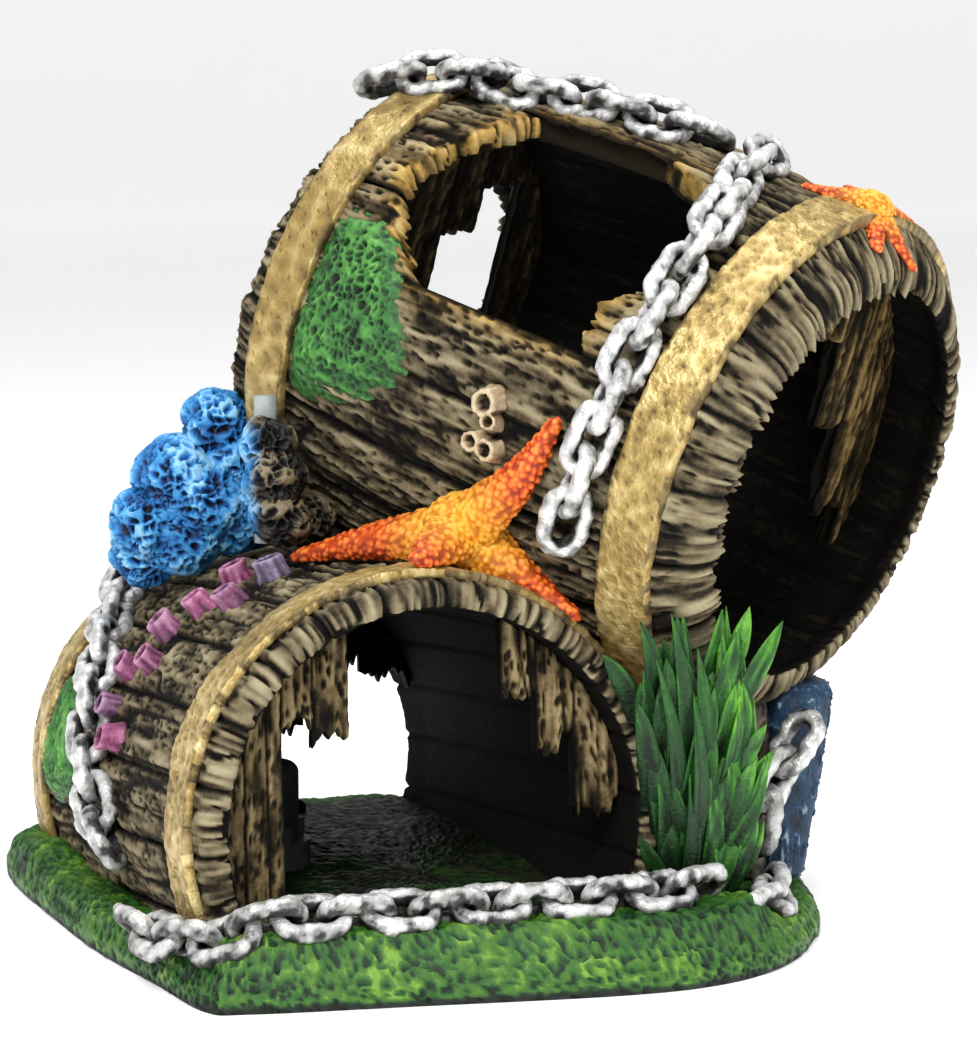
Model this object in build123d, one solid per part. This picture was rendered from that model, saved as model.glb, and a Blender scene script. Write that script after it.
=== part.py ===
"""Bubbling ornament: two broken barrels on a moss base, with chains, starfish and corals.

Millimetres, +Z up. The low barrel's mouth faces -Y and the high barrel lies across it.
Everything is laid out from the centre of the low barrel's mouth, then moved so that the
origin is the middle of the footprint at the resting surface.
"""
import math
import os
import random

from build123d import *

# Low barrel (sits in the base)
LOW_LENGTH = 121.0      # rim to rim along the staves
LOW_BELLY = 42.6        # outside radius at the belly
LOW_WALL = 5.5          # stave thickness
LOW_STAVES = 22
LOW_TILT = 4.2          # mouth tips up by this angle
# High barrel (lies across the low one, mouth down to the right)
UPP_LENGTH = 105.8
UPP_BELLY = 47.9
UPP_WALL = 6.5
UPP_STAVES = 20
UPP_YAW = 34.9          # mouth turned to the right
UPP_TILT = -17.7        # mouth tips down
SEAT = 0.6 * UPP_WALL   # depth of the cradle cut where the barrels meet
LOW_CROSS = 0.398 * LOW_LENGTH   # where the barrels cross, back from each mouth
UPP_CROSS = 0.510 * UPP_LENGTH
# Hoops
LOW_HOOP_W, LOW_HOOP_T = 9.6, 1.2
UPP_HOOP_W, UPP_HOOP_T = 9.0, 1.7
JOINT_GAP = 0.35        # open seam between neighbouring staves
REAR_SHORT = (2.0, 1.0, 2.5, 1.5, 3.0, 4.0, 4.2, 3.4, 2.6, 0.8,
              0.5, 1.6, 2.4, 1.0, 2.8, 1.4, 0.6, 2.2, 1.2, 2.6)   # high staves broken short
# Base
FLOOR = -0.44 * LOW_BELLY    # top of the base, below the mouth centre
BASE_T = 7.2
BANK_H = 4.6            # moss bank in front of the low mouth
# Chain
WIRE, LINK_IN, LINK_IN_W = 2.5, 7.7, 3.2
PITCH = LINK_IN - 0.2
CHAIN_LIFT = 2.3        # link centre above the surface it lies on
GRASS_LEAN = 18.0
# Air fittings
PIPE_R, PIPE_BORE_R = 2.0, 1.1
STONE_R, STONE_H = 6.0, 14.0
HUB_R, HUB_H, LUG_H = 8.0, 5.0, 3.0
INLET_R, INLET_LEN = 2.3, 10.0
CLEAR_LEN = 26.0

parts = {}


def direction(yaw, tilt):
    """Unit vector of a mouth: yaw turns it right from -Y, tilt lifts it."""
    yaw, tilt = math.radians(yaw), math.radians(tilt)
    return Vector(math.sin(yaw) * math.cos(tilt), -math.cos(yaw) * math.cos(tilt), math.sin(tilt))


class Barrel:
    """A barrel given by its mouth centre, the way it faces and its outline.

    Stations are (distance back from the mouth, outside radius) at the front rim, the front
    chime, the belly, the rear chime and the rear rim.
    """

    def __init__(self, mouth, facing, stations, wall, count, hoops, hoop_w, hoop_t, turn):
        self.mouth, self.facing, self.stations = mouth, facing, stations
        self.wall, self.count, self.turn = wall, count, turn
        self.hoops, self.hoop_w, self.hoop_t = hoops, hoop_w, hoop_t
        self.right = Vector(0, 0, 1).cross(facing).normalized()
        self.up = facing.cross(self.right)
        self.place = Plane(mouth, x_dir=self.right, z_dir=facing).location
        self.length = stations[-1][0]
        (d1, r1), (d2, r2), (d3, r3) = stations[1:4]
        self.arc = [(d1, r1), (d2, r2), (d3, r3)]

    def radius(self, back):
        """Outside radius of the staves at a distance back from the mouth."""
        (d0, r0), (d1, r1), (d2, r2), (d3, r3), (d4, r4) = self.stations
        if back <= d1:
            return r0 + (r1 - r0) * (back - d0) / (d1 - d0)
        if back >= d3:
            return r3 + (r4 - r3) * (back - d3) / (d4 - d3)
        total = 0.0
        for i, (di, ri) in enumerate(self.arc):
            weight = 1.0
            for j, (dj, _) in enumerate(self.arc):
                if i != j:
                    weight *= (back - dj) / (di - dj)
            total += ri * weight
        return total

    def point(self, back, angle, lift=0.0):
        """A point over the surface; angle runs from the barrel's right (0) over its top (90)."""
        r, a = self.radius(back) + lift, math.radians(angle)
        return (self.mouth - self.facing * back + self.right * (r * math.cos(a))
                + self.up * (r * math.sin(a)))

    def outward(self, angle):
        a = math.radians(angle)
        return self.right * math.cos(a) + self.up * math.sin(a)

    def normal(self, back, angle):
        """The way the surface faces, allowing for the slope of the staves."""
        slope = (self.radius(back + 0.5) - self.radius(back - 0.5))
        return (self.outward(angle) + self.facing * slope).normalized()

    def edges(self, lift):
        """Outline of the staves, moved out by a lift, as edges in the XZ plane."""
        p = [(r + lift, 0, -d) for d, r in self.stations]
        return [Edge.make_line(p[0], p[1]), Edge.make_three_point_arc(p[1], p[2], p[3]),
                Edge.make_line(p[3], p[4])]

    def body(self, lift=0.0, first=0.0, last=None):
        """The filled barrel moved out by a lift, cut to a length along its axis."""
        p = [(r + lift, 0, -d) for d, r in self.stations]
        ends = [Edge.make_line((0, 0, 0), p[0]), Edge.make_line(p[4], (0, 0, p[4][2])),
                Edge.make_line((0, 0, p[4][2]), (0, 0, 0))]
        solid = revolve(Face(Wire(self.edges(lift) + ends)), Axis.Z, 360)
        if last is not None:
            depth = last - first
            solid = solid & Pos(0, 0, -(first + last) / 2) * Box(300, 300, depth)
        return solid

    def envelope(self):
        """Filled barrel with its hoops, used to seat whatever touches it from outside."""
        solid = self.body()
        for centre in self.hoops:
            solid = solid + self.body(self.hoop_t, centre - self.hoop_w / 2,
                                      centre + self.hoop_w / 2)
        return self.place * solid

    def stave(self, index):
        step = 360 / self.count
        gap = math.degrees(JOINT_GAP / self.stations[2][1])
        inner = [e.reversed() for e in reversed(self.edges(-self.wall))]
        outer = self.edges(0)
        face = Face(Wire([
            *outer, Edge.make_line(outer[-1] @ 1, inner[0] @ 0), *inner,
            Edge.make_line(inner[-1] @ 1, outer[0] @ 0)]))
        return Rot(0, 0, self.turn + index * step + gap / 2) * revolve(face, Axis.Z, step - gap)

    def hoop(self, centre):
        band = self.body(self.hoop_t, centre - self.hoop_w / 2, centre + self.hoop_w / 2)
        return self.place * (band - self.body())


def lumps(shape):
    """The solids of a shape, without slivers."""
    return [s for s in shape.solids() if s.volume > 2.0]


def add(name, *shapes):
    parts.setdefault(name, []).extend(s for shape in shapes for s in lumps(shape))


def span(outline, angle):
    """Where a line along the barrel at this angle enters and leaves an outline."""
    cross = []
    for (d0, a0), (d1, a1) in zip(outline, outline[1:] + outline[:1]):
        if (a0 <= angle) != (a1 <= angle):
            cross.append(d0 + (d1 - d0) * (angle - a0) / (a1 - a0))
    return (min(cross), max(cross)) if cross else None


def zigzag(u0, u1, s, depth, rng, teeth=4):
    """Points of a splintered edge across a board, from u0 to u1 at station s."""
    return [(u0 + (u1 - u0) * i / teeth, s + depth * (rng.uniform(0.4, 1) if i % 2 else -0.4))
            for i in range(teeth + 1)]


def broken_staves(barrel, outline, rng):
    """All the staves of a barrel, with an outline of (distance back, angle) broken out."""
    step = 360 / barrel.count
    low, high = min(a for _, a in outline), max(a for _, a in outline)
    pieces = []
    for i in range(barrel.count):
        short = REAR_SHORT[i % len(REAR_SHORT)]
        stave = barrel.stave(i) - Pos(0, 0, short - barrel.length - 20) * Box(300, 300, 40)
        middle = (barrel.turn + (i + 0.5) * step) % 360
        left, right = max(low, middle - step / 2), min(high, middle + step / 2)
        if right - left > 0.15 * step:
            first, last = span(outline, (left + right) / 2)
            r = barrel.radius((first + last) / 2)
            reach = step / 2 + 1
            u0 = r * math.sin(math.radians(-reach if left > low else left - middle))
            u1 = r * math.sin(math.radians(reach if right < high else right - middle))
            front = zigzag(u0, u1, -first - 1, 2.6, rng)
            back = zigzag(u0, u1, -last + 1, -2.6, rng)
            face = make_face(Polyline(*front, *reversed(back), close=True))
            plane = Plane((0, 0, 0), x_dir=(0, 1, 0), z_dir=(1, 0, 0))
            cutter = plane.location * extrude(face, amount=2 * r)
            stave = stave - Rot(0, 0, middle) * cutter
        pieces.extend(lumps(barrel.place * stave))
    return pieces


def head_boards(barrel, depth, thick, boards, rng):
    """Boards across a barrel end: (x0, x1, y0, y1) in parts of the inside radius there.

    The y0 end is splintered unless it is None, when the board runs down to the wall.
    """
    inside = barrel.body(-barrel.wall)
    r = barrel.radius(depth) - barrel.wall
    pieces = []
    for x0, x1, y0, y1 in boards:
        low = ([(x0 * r, -1.3 * r), (x1 * r, -1.3 * r)] if y0 is None
               else zigzag(x0 * r, x1 * r, y0 * r, 2.2, rng))
        high = ([(x0 * r, 1.3 * r), (x1 * r, 1.3 * r)] if y1 is None
                else zigzag(x0 * r, x1 * r, y1 * r, 2.2, rng))
        face = make_face(Polyline(*low, *reversed(high), close=True))
        board = Pos(0, 0, -depth - thick) * extrude(face, amount=thick)
        pieces.extend(lumps(barrel.place * (board & inside)))
    return pieces


def cone(start, end, r0, r1):
    """A tapered round bar between two points with a ball at the far end."""
    axis = end - start
    bar = Plane(start, z_dir=axis).location * Pos(0, 0, axis.length / 2) * Cone(
        r0, r1, axis.length)
    return bar + Pos(*end) * Sphere(r1)


def star(centre, arms, r_centre, r_tip):
    """A starfish: a ball with arms running through the given points."""
    body = Pos(*centre) * Sphere(r_centre)
    for arm in arms:
        n = len(arm)
        start, r0 = centre, 0.88 * r_centre
        for i, point in enumerate(arm):
            r1 = r_centre + (r_tip - r_centre) * (i + 1) / n
            body = body + cone(start, point, r0, r1)
            start, r0 = point, r1
    return body


def link(centre, along, outward, roll):
    """One closed chain link lying along a direction, rolled about it."""
    side = outward.cross(along).normalized()
    up = along.cross(side).normalized()
    half, bend = (LINK_IN - LINK_IN_W) / 2, (LINK_IN_W + WIRE) / 2
    path = Wire([Edge.make_line((-half, bend, 0), (half, bend, 0)),
                 Edge.make_three_point_arc((half, bend, 0), (half + bend, 0, 0), (half, -bend, 0)),
                 Edge.make_line((half, -bend, 0), (-half, -bend, 0)),
                 Edge.make_three_point_arc((-half, -bend, 0), (-half - bend, 0, 0),
                                           (-half, bend, 0))])
    section = Plane((0, bend, 0), x_dir=(0, 1, 0), z_dir=(1, 0, 0)) * Circle(WIRE / 2)
    ring = sweep(section, path=path)
    return Plane(centre, x_dir=along, z_dir=up).location * Rot(roll, 0, 0) * ring


def chain(name, stops, place, supports=()):
    """Links at an even pitch through stops, which place() turns into (point, outward).

    Each link is cut flat where it lies on its surface, and fitted round the supports.
    """
    dense = [place(*[p + (q - p) * i / 40 for p, q in zip(a, b)])
             for a, b in zip(stops, stops[1:]) for i in range(40)] + [place(*stops[-1])]
    walked = [0.0]
    for (a, _), (b, _) in zip(dense, dense[1:]):
        walked.append(walked[-1] + (b - a).length)
    count = int(walked[-1] / PITCH)

    def at(distance):
        return dense[min(range(len(walked)), key=lambda k: abs(walked[k] - distance))]

    for i in range(count):
        middle = (i + 0.5) * PITCH
        centre, outward = at(middle)
        along = (at(middle + PITCH / 2)[0] - at(middle - PITCH / 2)[0]).normalized()
        under = Plane(centre - outward * (CHAIN_LIFT - 0.05), z_dir=outward).location
        piece = link(centre, along, outward, 45 if i % 2 else -45)
        piece = piece - under * Pos(0, 0, -10) * Box(40, 40, 20)
        for support in supports:
            piece = piece - support
        add(name, max(piece.solids(), key=lambda s: s.volume))


def over(barrel):
    """Places chain stops (distance back, angle) on a barrel, lifted over its hoops."""
    def place(back, angle):
        on_hoop = any(abs(back - c) < barrel.hoop_w / 2 + LINK_IN for c in barrel.hoops)
        lift = CHAIN_LIFT + (barrel.hoop_t if on_hoop else 0)
        outward = barrel.normal(back, angle)
        return barrel.point(back, angle) + outward * lift, outward
    return place


def on_ground(x, y, height):
    return Vector(x, y, FLOOR + height + CHAIN_LIFT), Vector(0, 0, 1)


def up_a_wall(x, y, height):
    return Vector(x, y, FLOOR + height), Vector(-0.3, -1, 0).normalized()


def patch(barrel, outline, thick):
    """A skin of even thickness on a barrel over an outline of (distance back, angle)."""
    middle = sum(a for _, a in outline) / len(outline)
    flat = [(barrel.radius(d) * math.sin(math.radians(a - middle)), -d) for d, a in outline]
    plane = Plane((0, 0, 0), x_dir=(0, 1, 0), z_dir=(1, 0, 0))
    prism = plane.location * extrude(make_face(Polyline(*flat, close=True)), amount=90)
    shell = barrel.body(thick) - barrel.body()
    return barrel.place * ((Rot(0, 0, middle) * prism) & shell)


def cup(barrel, back, angle, radius, height):
    """A short round cup with a blind hole, standing on a barrel."""
    root = barrel.point(back, angle, -1.5)
    body = Pos(0, 0, (height + 1.5) / 2) * Cone(radius, 0.85 * radius, height + 1.5)
    body = body - Pos(0, 0, height + 0.5) * Cylinder(0.5 * radius, 2.2)
    return Plane(root, z_dir=barrel.outward(angle)).location * body


# ---- the two barrels ----
low_dir = direction(0, LOW_TILT)
upp_dir = direction(UPP_YAW, UPP_TILT)
origin = Vector(0, 0, 0)
low = Barrel(
    origin, low_dir,
    [(0, 0.932 * LOW_BELLY), (0.042 * LOW_LENGTH, 0.958 * LOW_BELLY),
     (0.5 * LOW_LENGTH, LOW_BELLY), (0.915 * LOW_LENGTH, 0.970 * LOW_BELLY),
     (LOW_LENGTH, 0.937 * LOW_BELLY)],
    LOW_WALL, LOW_STAVES, (0.082 * LOW_LENGTH, 0.875 * LOW_LENGTH), LOW_HOOP_W, LOW_HOOP_T, 4)
upp_stations = [
    (0, 0.830 * UPP_BELLY), (0.060 * UPP_LENGTH, 0.951 * UPP_BELLY),
    (0.484 * UPP_LENGTH, UPP_BELLY), (0.909 * UPP_LENGTH, 0.908 * UPP_BELLY),
    (UPP_LENGTH, 0.833 * UPP_BELLY)]
upp = Barrel(origin, upp_dir, upp_stations, UPP_WALL, UPP_STAVES,
             (0.106 * UPP_LENGTH, 0.872 * UPP_LENGTH), UPP_HOOP_W, UPP_HOOP_T, 16)
across = low_dir.cross(upp_dir).normalized()
apart = low.radius(LOW_CROSS) + upp.radius(UPP_CROSS) - SEAT
upp_mouth = origin - low_dir * LOW_CROSS + across * apart + upp_dir * UPP_CROSS
upp = Barrel(upp_mouth, upp_dir, upp_stations, UPP_WALL, UPP_STAVES,
             upp.hoops, UPP_HOOP_W, UPP_HOOP_T, 16)
rng = random.Random(7)
ground = FLOOR - BASE_T
below = Pos(0, 0, FLOOR - 200) * Box(600, 600, 400)
low_env, upp_env = low.envelope(), upp.envelope()

add("lower_staves", *[low.place * low.stave(i) - below for i in range(LOW_STAVES)])
for side, centre in zip(("front", "rear"), low.hoops):
    add(f"lower_{side}_hoop", low.hoop(centre) - below)
HOLE = [(0.701, 151), (0.750, 136), (0.716, 122), (0.650, 106), (0.420, 106),
        (0.300, 112), (0.235, 128), (0.240, 141), (0.315, 149), (0.300, 160), (0.630, 160)]
hole = [(part * UPP_LENGTH, a) for part, a in HOLE]
add("upper_staves", *[s - low_env for s in broken_staves(upp, hole, rng)])
for side, centre in zip(("front", "rear"), upp.hoops):
    add(f"upper_{side}_hoop", upp.hoop(centre) - low_env)

# ---- broken heads ----
add("lower_front_head", *[b - below for b in head_boards(low, 9.0, 4.0, [
    (-1.05, -0.83, None, None), (-0.82, -0.65, None, None), (-0.64, -0.50, 0.46, None),
    (-0.49, -0.33, 0.38, None),
    (0.42, 0.58, 0.52, None), (0.59, 0.76, 0.28, None), (0.77, 1.05, 0.02, None)], rng)])
rear_depth = LOW_LENGTH - 12
add("lower_rear_head", *[b - below for b in head_boards(low, rear_depth, 4.0, [
    (-1.05, -0.68, None, None), (-0.67, -0.34, None, None), (-0.33, 0.0, None, None),
    (0.01, 0.30, None, -0.20), (0.01, 0.30, 0.12, None), (0.31, 0.62, 0.44, None),
    (0.63, 0.92, 0.40, None)], rng)])
upper_front = [(0.16, 0.40, 0.50, None), (0.41, 0.62, 0.10, None), (0.63, 0.84, -0.30, None),
               (0.85, 1.05, None, None)]
add("upper_front_head", *head_boards(upp, 15.0, 4.0, upper_front, rng))
add("upper_rear_head", *head_boards(upp, UPP_LENGTH - 12, 4.0, [
    (-1.05, -0.70, None, None), (-0.69, -0.36, None, None), (-0.35, 0.08, None, None),
    (0.09, 0.34, None, -0.05), (0.09, 0.34, 0.36, None), (0.35, 0.66, None, -0.16),
    (0.35, 0.66, 0.58, None), (0.67, 1.05, None, None)], rng))

# ---- moss base ----
half_w = 1.03 * LOW_BELLY
back_y = LOW_LENGTH + 5
edge = [(-half_w + 2, -7), (-0.8 * half_w, -11), (-10, -15), (24, -20), (42, -19), (56, -12),
        (67, 0), (76, 17), (81, 46), (77, 84), (60, 108), (36, back_y - 4), (0, back_y),
        (-30, back_y - 1), (-half_w - 1, back_y - 12), (-half_w - 5, 96),
        (-half_w - 5, 70), (-half_w - 4, 40), (-half_w - 0.5, 12)]
slab = Pos(0, 0, ground) * extrude(make_face(Spline(*edge, periodic=True)), amount=BASE_T)
bank_edge = [(-0.86 * half_w, -3), (-0.78 * half_w, -9), (-10, -13), (24, -17.5), (41, -17),
             (50, -10), (50, -2.5), (0, -2.5)]
bank = Pos(0, 0, FLOOR) * extrude(make_face(Polyline(*bank_edge, close=True)),
                                  amount=BANK_H, taper=15)
left_mound = Pos(-half_w, 88, FLOOR - 8) * Sphere(10) - below
add("moss_base", slab)
moss = parts["moss_base"][0]
bank, left_mound = bank - low_env, left_mound - low_env
add("moss_bank", max(bank.solids(), key=lambda s: s.volume),
    max(left_mound.solids(), key=lambda s: s.volume))

# ---- rock under the high barrel and the blue sponge beside it ----
rock_edge = [(48, 26), (58, 21), (68, 21), (72, 28), (72, 46), (70, 70), (62, 86), (50, 84),
             (44, 58)]
rock = Pos(0, 0, FLOOR) * extrude(make_face(Polyline(*rock_edge, close=True)), amount=75)
rock = rock - low_env - upp_env
add("support_rock", max(rock.solids(), key=lambda s: (s.volume if s.center().Z < 30 else 0)))
sponge_edge = [(67, 25), (76, 22), (80, 32), (79, 50), (69, 54)]
sponge = Pos(0, 0, FLOOR) * extrude(make_face(Polyline(*sponge_edge, close=True)),
                                    amount=34, dir=(0.16, 0, 1))
sponge = sponge - parts["support_rock"][0] - upp_env
add("blue_sponge", max(sponge.solids(), key=lambda s: s.volume))

# ---- coral and small growths ----
coral = None
for x, y, z, r in [(-22, 80, 42, 9.5), (-11, 80, 46, 10), (-2, 80, 50, 9), (-12, 78, 56, 8.5),
                   (-23, 77, 51, 7.5), (-16, 75, 61, 6), (-28, 78, 43, 6.5), (-27, 82, 37, 6.5),
                   (-8, 70, 57, 5), (-6, 70, 48, 7)]:
    ball = Pos(x, y, z) * Sphere(r)
    coral = ball if coral is None else coral + ball
coral = coral - low_env - upp_env
add("blue_coral", max(coral.solids(), key=lambda s: s.volume))
for back, angle, radius in [(52.4, 114.9, 2.3), (42.2, 109.5, 2.7), (38.1, 122.4, 2.2),
                            (47.8, 126.5, 2.2), (53.9, 135.1, 2.2), (58.2, 147.2, 2.0),
                            (49.0, 143.9, 2.1), (58.5, 156.3, 1.9), (51.2, 162.8, 2.3)]:
    add("tubeworm_cups", cup(low, back, angle, radius, 3.2) - low_env)
for back, angle, radius in [(42.3, 175.5, 2.2), (42.6, 184.2, 1.6), (39.7, 185.4, 1.8)]:
    add("barnacle_cups", cup(upp, back, angle, radius, 2.4) - upp_env)
add("upper_moss_patch", patch(upp, [(87, 192), (88, 158), (87, 150), (76, 151), (69, 160),
                                    (61, 178), (72, 190)], 1.0) - upp_env)
add("lower_moss_patch", patch(low, [(100, 152), (100, 182), (76, 180), (80, 164), (88, 152)],
                              1.0) - low_env)

# ---- starfish ----
star_c = low.point(17, 76, 8.5)
arms = [[low.point(31, 90, 4.2), low.point(46, 102, 2.4)],
        [low.point(9, 86, 4.2), low.point(6, 91, 2.6)],
        [low.point(11, 64, 4.2), low.point(6, 50, 3.2)],
        [upp.point(32, 187, 3.4), upp.point(29, 174, 2.4)],
        [low.point(36, 68, 3.0)]]
big = star(star_c, arms, 6.2, 1.7) - low_env - upp_env
add("large_starfish", max(big.solids(), key=lambda s: s.volume))
star_c = upp.point(10, 88, 2.4)
arms = [[upp.point(20, 97, 2.0)], [upp.point(2, 99, 1.8)], [upp.point(-1.5, 86, 1.2)],
        [upp.point(8, 72, 1.8)], [upp.point(20, 78, 2.0)]]
small = star(star_c, arms, 3.6, 1.2) - upp_env
add("small_starfish", max(small.solids(), key=lambda s: s.volume))

# ---- grass: flat blades in parallel planes, leaning forward ----
grass_face = Vector(0, -math.cos(math.radians(GRASS_LEAN)), -math.sin(math.radians(GRASS_LEAN)))
for x, y, height, lean, width in [
        (44, 4, 30, -3, 6), (49, 7, 34, -2, 6), (54, 7, 28, 2, 6), (46, 6, 42, -5, 6),
        (52, 9, 40, 2, 7), (54, 12, 42, 2, 6), (48, 9, 50, -6, 7), (53, 14, 46, 1, 7),
        (45, 11, 56, -6, 7), (50, 12, 54, -3, 7), (54, 17, 50, 3, 6), (46, 15, 58, -4, 6),
        (51, 17, 56, -1, 7), (54, 10, 36, 3, 6), (44, 8, 48, -8, 6), (49, 15, 38, 1, 7)]:
    blade = make_face(Wire([
        Edge.make_spline([(-width / 2, 0), (lean * 0.3 - width * 0.55, height * 0.5),
                          (lean, height)]),
        Edge.make_spline([(lean, height), (lean * 0.35 + width * 0.5, height * 0.5),
                          (width / 2, 0)]),
        Edge.make_line((width / 2, 0), (-width / 2, 0))]))
    leaf = Plane((x, y, FLOOR - 1), x_dir=(1, 0, 0), z_dir=grass_face).location * extrude(
        blade, amount=1.4)
    leaf = leaf - moss - low_env - upp_env - parts["support_rock"][0]
    add("grass_clump", max(leaf.solids(), key=lambda s: s.volume))

# ---- chains ----
chain("top_chain", [(99, 119), (93, 111), (82, 104), (66, 99), (50, 96), (37, 93)], over(upp))
chain("diagonal_chain", [(31, 88), (28, 104), (22, 122), (20, 140), (20, 158), (20.5, 174),
                         (21.5, 190), (22.5, 202)],
      over(upp), [low_env, parts["large_starfish"][0]])
chain("left_chain", [(97, 124), (90, 132), (75, 145), (65, 157), (58, 170), (49, 183),
                     (41, 192)], over(low), [parts["blue_coral"][0], below])
chain("front_chain", [(-half_w - 3, 19, 0), (-half_w - 1.5, 6, 0), (-half_w + 6, -5, 1.5),
                      (-0.75 * half_w, -7, BANK_H), (-10, -8.5, BANK_H), (14, -10, BANK_H),
                      (34, -10, BANK_H), (48, -5, BANK_H)], on_ground,
      [low_env, below, bank])
chain("right_chain", [(53, -7, 0), (60, -2, 0), (63, 6, 0), (65, 13, 0)], on_ground, [below])
chain("right_chain", [(66, 18.5, 8), (67, 18.5, 15), (71, 18.5, 22), (76.5, 18.5, 30)],
      up_a_wall, [parts["support_rock"][0], parts["blue_sponge"][0], upp_env])

# ---- air fittings: pipe on the floor, seat with three lugs, lift-off stone ----
stone_x, stone_y = -10.0, 0.54 * LOW_LENGTH
hub = Pos(stone_x, stone_y, FLOOR + HUB_H / 2) * (
    Cylinder(HUB_R, HUB_H) - Cylinder(PIPE_BORE_R, HUB_H))
add("stone_seat", hub)
lug = Pos(0, 0, LUG_H / 2) * (Cylinder(HUB_R, LUG_H) - Cylinder(STONE_R + 0.3, LUG_H))
for turn in (30, 150, 270):
    wedge = Rot(0, 0, turn) * Pos(HUB_R, 0, LUG_H / 2) * Box(2 * HUB_R, 5, LUG_H)
    add("stone_seat", Pos(stone_x, stone_y, FLOOR + HUB_H) * (lug & wedge))
stone = Pos(0, 0, STONE_H / 2) * Cylinder(STONE_R, STONE_H)
stone = fillet(stone.edges().group_by(Axis.Z)[-1], 2.0)
add("air_stone", Pos(stone_x, stone_y, FLOOR + HUB_H) * stone)
pipe_len = back_y - 3 - stone_y
along_y = Pos(stone_x, stone_y + pipe_len / 2, FLOOR + PIPE_R) * Rot(90, 0, 0)
pipe = along_y * (Cylinder(PIPE_R, pipe_len) - Cylinder(PIPE_BORE_R, pipe_len))
add("air_pipe", pipe - Pos(stone_x, stone_y, FLOOR + HUB_H / 2) * Cylinder(HUB_R, HUB_H))
notch = along_y * Cylinder(PIPE_R + 0.3, pipe_len)
parts["lower_rear_head"] = [b for s in parts["lower_rear_head"] for b in lumps(s - notch)]
inlet = (Pos(0, 0, 1.5) * Cylinder(PIPE_R + 0.8, 3) + Pos(0, 0, 3 + INLET_LEN / 2) * Cylinder(
    INLET_R, INLET_LEN)) - Pos(0, 0, 2 + INLET_LEN / 2) * Cylinder(PIPE_BORE_R, INLET_LEN + 9)
inlet = Pos(stone_x, stone_y + pipe_len, FLOOR + PIPE_R) * Rot(-90, 0, 0) * inlet
entry = Pos(stone_x, back_y + INLET_LEN, FLOOR + PIPE_R) * Rot(-90, 0, 0) * Cylinder(
    INLET_R + 1.5, 2 * INLET_LEN)
parts["moss_base"] = lumps(moss - entry)
add("air_inlet", inlet - parts["moss_base"][0])
tube_top = upp.point(0.84 * UPP_LENGTH, 195, UPP_HOOP_T + PIPE_R + 0.3)
tube_place = Pos(tube_top.X, tube_top.Y, tube_top.Z - CLEAR_LEN / 2)
tube = tube_place * (Cylinder(PIPE_R, CLEAR_LEN) - Cylinder(PIPE_BORE_R, CLEAR_LEN))
tube = tube - low_env - upp_env
add("clear_air_tube", max(tube.solids(), key=lambda s: s.volume))
parts["blue_coral"] = lumps(parts["blue_coral"][0] - tube_place * Cylinder(PIPE_R, CLEAR_LEN))

print("built", sorted(parts))

os.makedirs("parts", exist_ok=True)
everything = Compound(children=[s for group in parts.values() for s in group])
box = everything.bounding_box()
shift = Location((-(box.min.X + box.max.X) / 2, -(box.min.Y + box.max.Y) / 2, -box.min.Z))
for name, group in parts.items():
    node = Compound(label=name, children=[shift * s for s in group])
    export_step(node, f"parts/{name}.step")
print("size", box.size, "shift", shift.position)
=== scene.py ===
"""Looks of the bubbling ornament: weathered barrels, hoops, moss, chains, starfish and corals.

Shapes are worked out in millimetres from the centre of the low barrel's mouth and put into
the row frame, in metres, when their meshes are made. Every painted piece carries two
attributes: "relief", 0 in the hollows that hold the black wash and 1 on the ridges that the
dry brush touches, and "tint", 0 for the piece's own paint and 1 for its accent colour. Part
of this is painted light and shade. The relief is lowered on the barrels' insides and on the
boards deep in them as painted shade, and raised on lit boards and on the right of the grass
as painted light. The dark accents on the coral's right side and on the floor inside the low
barrel are painted shade.
"""

import math

import bpy
import numpy as np
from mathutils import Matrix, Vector


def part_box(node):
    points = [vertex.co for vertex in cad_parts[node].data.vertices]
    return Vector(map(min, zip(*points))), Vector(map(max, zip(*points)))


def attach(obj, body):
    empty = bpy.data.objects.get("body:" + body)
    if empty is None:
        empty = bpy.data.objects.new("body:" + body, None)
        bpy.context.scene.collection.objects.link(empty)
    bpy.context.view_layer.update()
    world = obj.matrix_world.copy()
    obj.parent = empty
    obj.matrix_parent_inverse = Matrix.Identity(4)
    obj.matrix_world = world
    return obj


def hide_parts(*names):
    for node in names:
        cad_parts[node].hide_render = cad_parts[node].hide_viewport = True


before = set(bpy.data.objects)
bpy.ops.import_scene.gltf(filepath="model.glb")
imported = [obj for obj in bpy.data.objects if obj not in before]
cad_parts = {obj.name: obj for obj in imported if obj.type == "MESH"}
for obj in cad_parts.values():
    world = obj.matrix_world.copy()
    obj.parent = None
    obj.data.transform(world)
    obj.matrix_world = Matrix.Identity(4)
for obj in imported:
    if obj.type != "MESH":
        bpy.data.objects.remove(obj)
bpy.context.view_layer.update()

# ---- sizes, in millimetres, as in the part ----
LOW_LENGTH, LOW_BELLY, LOW_WALL, LOW_STAVES = 121.0, 42.6, 5.5, 22
UPP_LENGTH, UPP_BELLY, UPP_WALL, UPP_STAVES = 105.8, 47.9, 6.5, 20
LOW_TILT, UPP_YAW, UPP_TILT = 4.2, 34.9, -17.7
SEAT = 0.6 * UPP_WALL
LOW_CROSS, UPP_CROSS = 0.398 * LOW_LENGTH, 0.510 * UPP_LENGTH
FLOOR = -0.44 * LOW_BELLY
BASE_T, BANK_H = 7.2, 4.6
WIRE, LINK_IN, LINK_IN_W, CHAIN_LIFT = 3.0, 7.7, 2.9, 2.3
PITCH = LINK_IN - 0.2

low_box, base_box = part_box("lower_staves"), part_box("moss_base")
MOUTH = np.array([
    500 * (low_box[0].x + low_box[1].x),
    1000 * low_box[0].y - FLOOR * math.tan(math.radians(LOW_TILT)),
    1000 * base_box[1].z - FLOOR])


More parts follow.
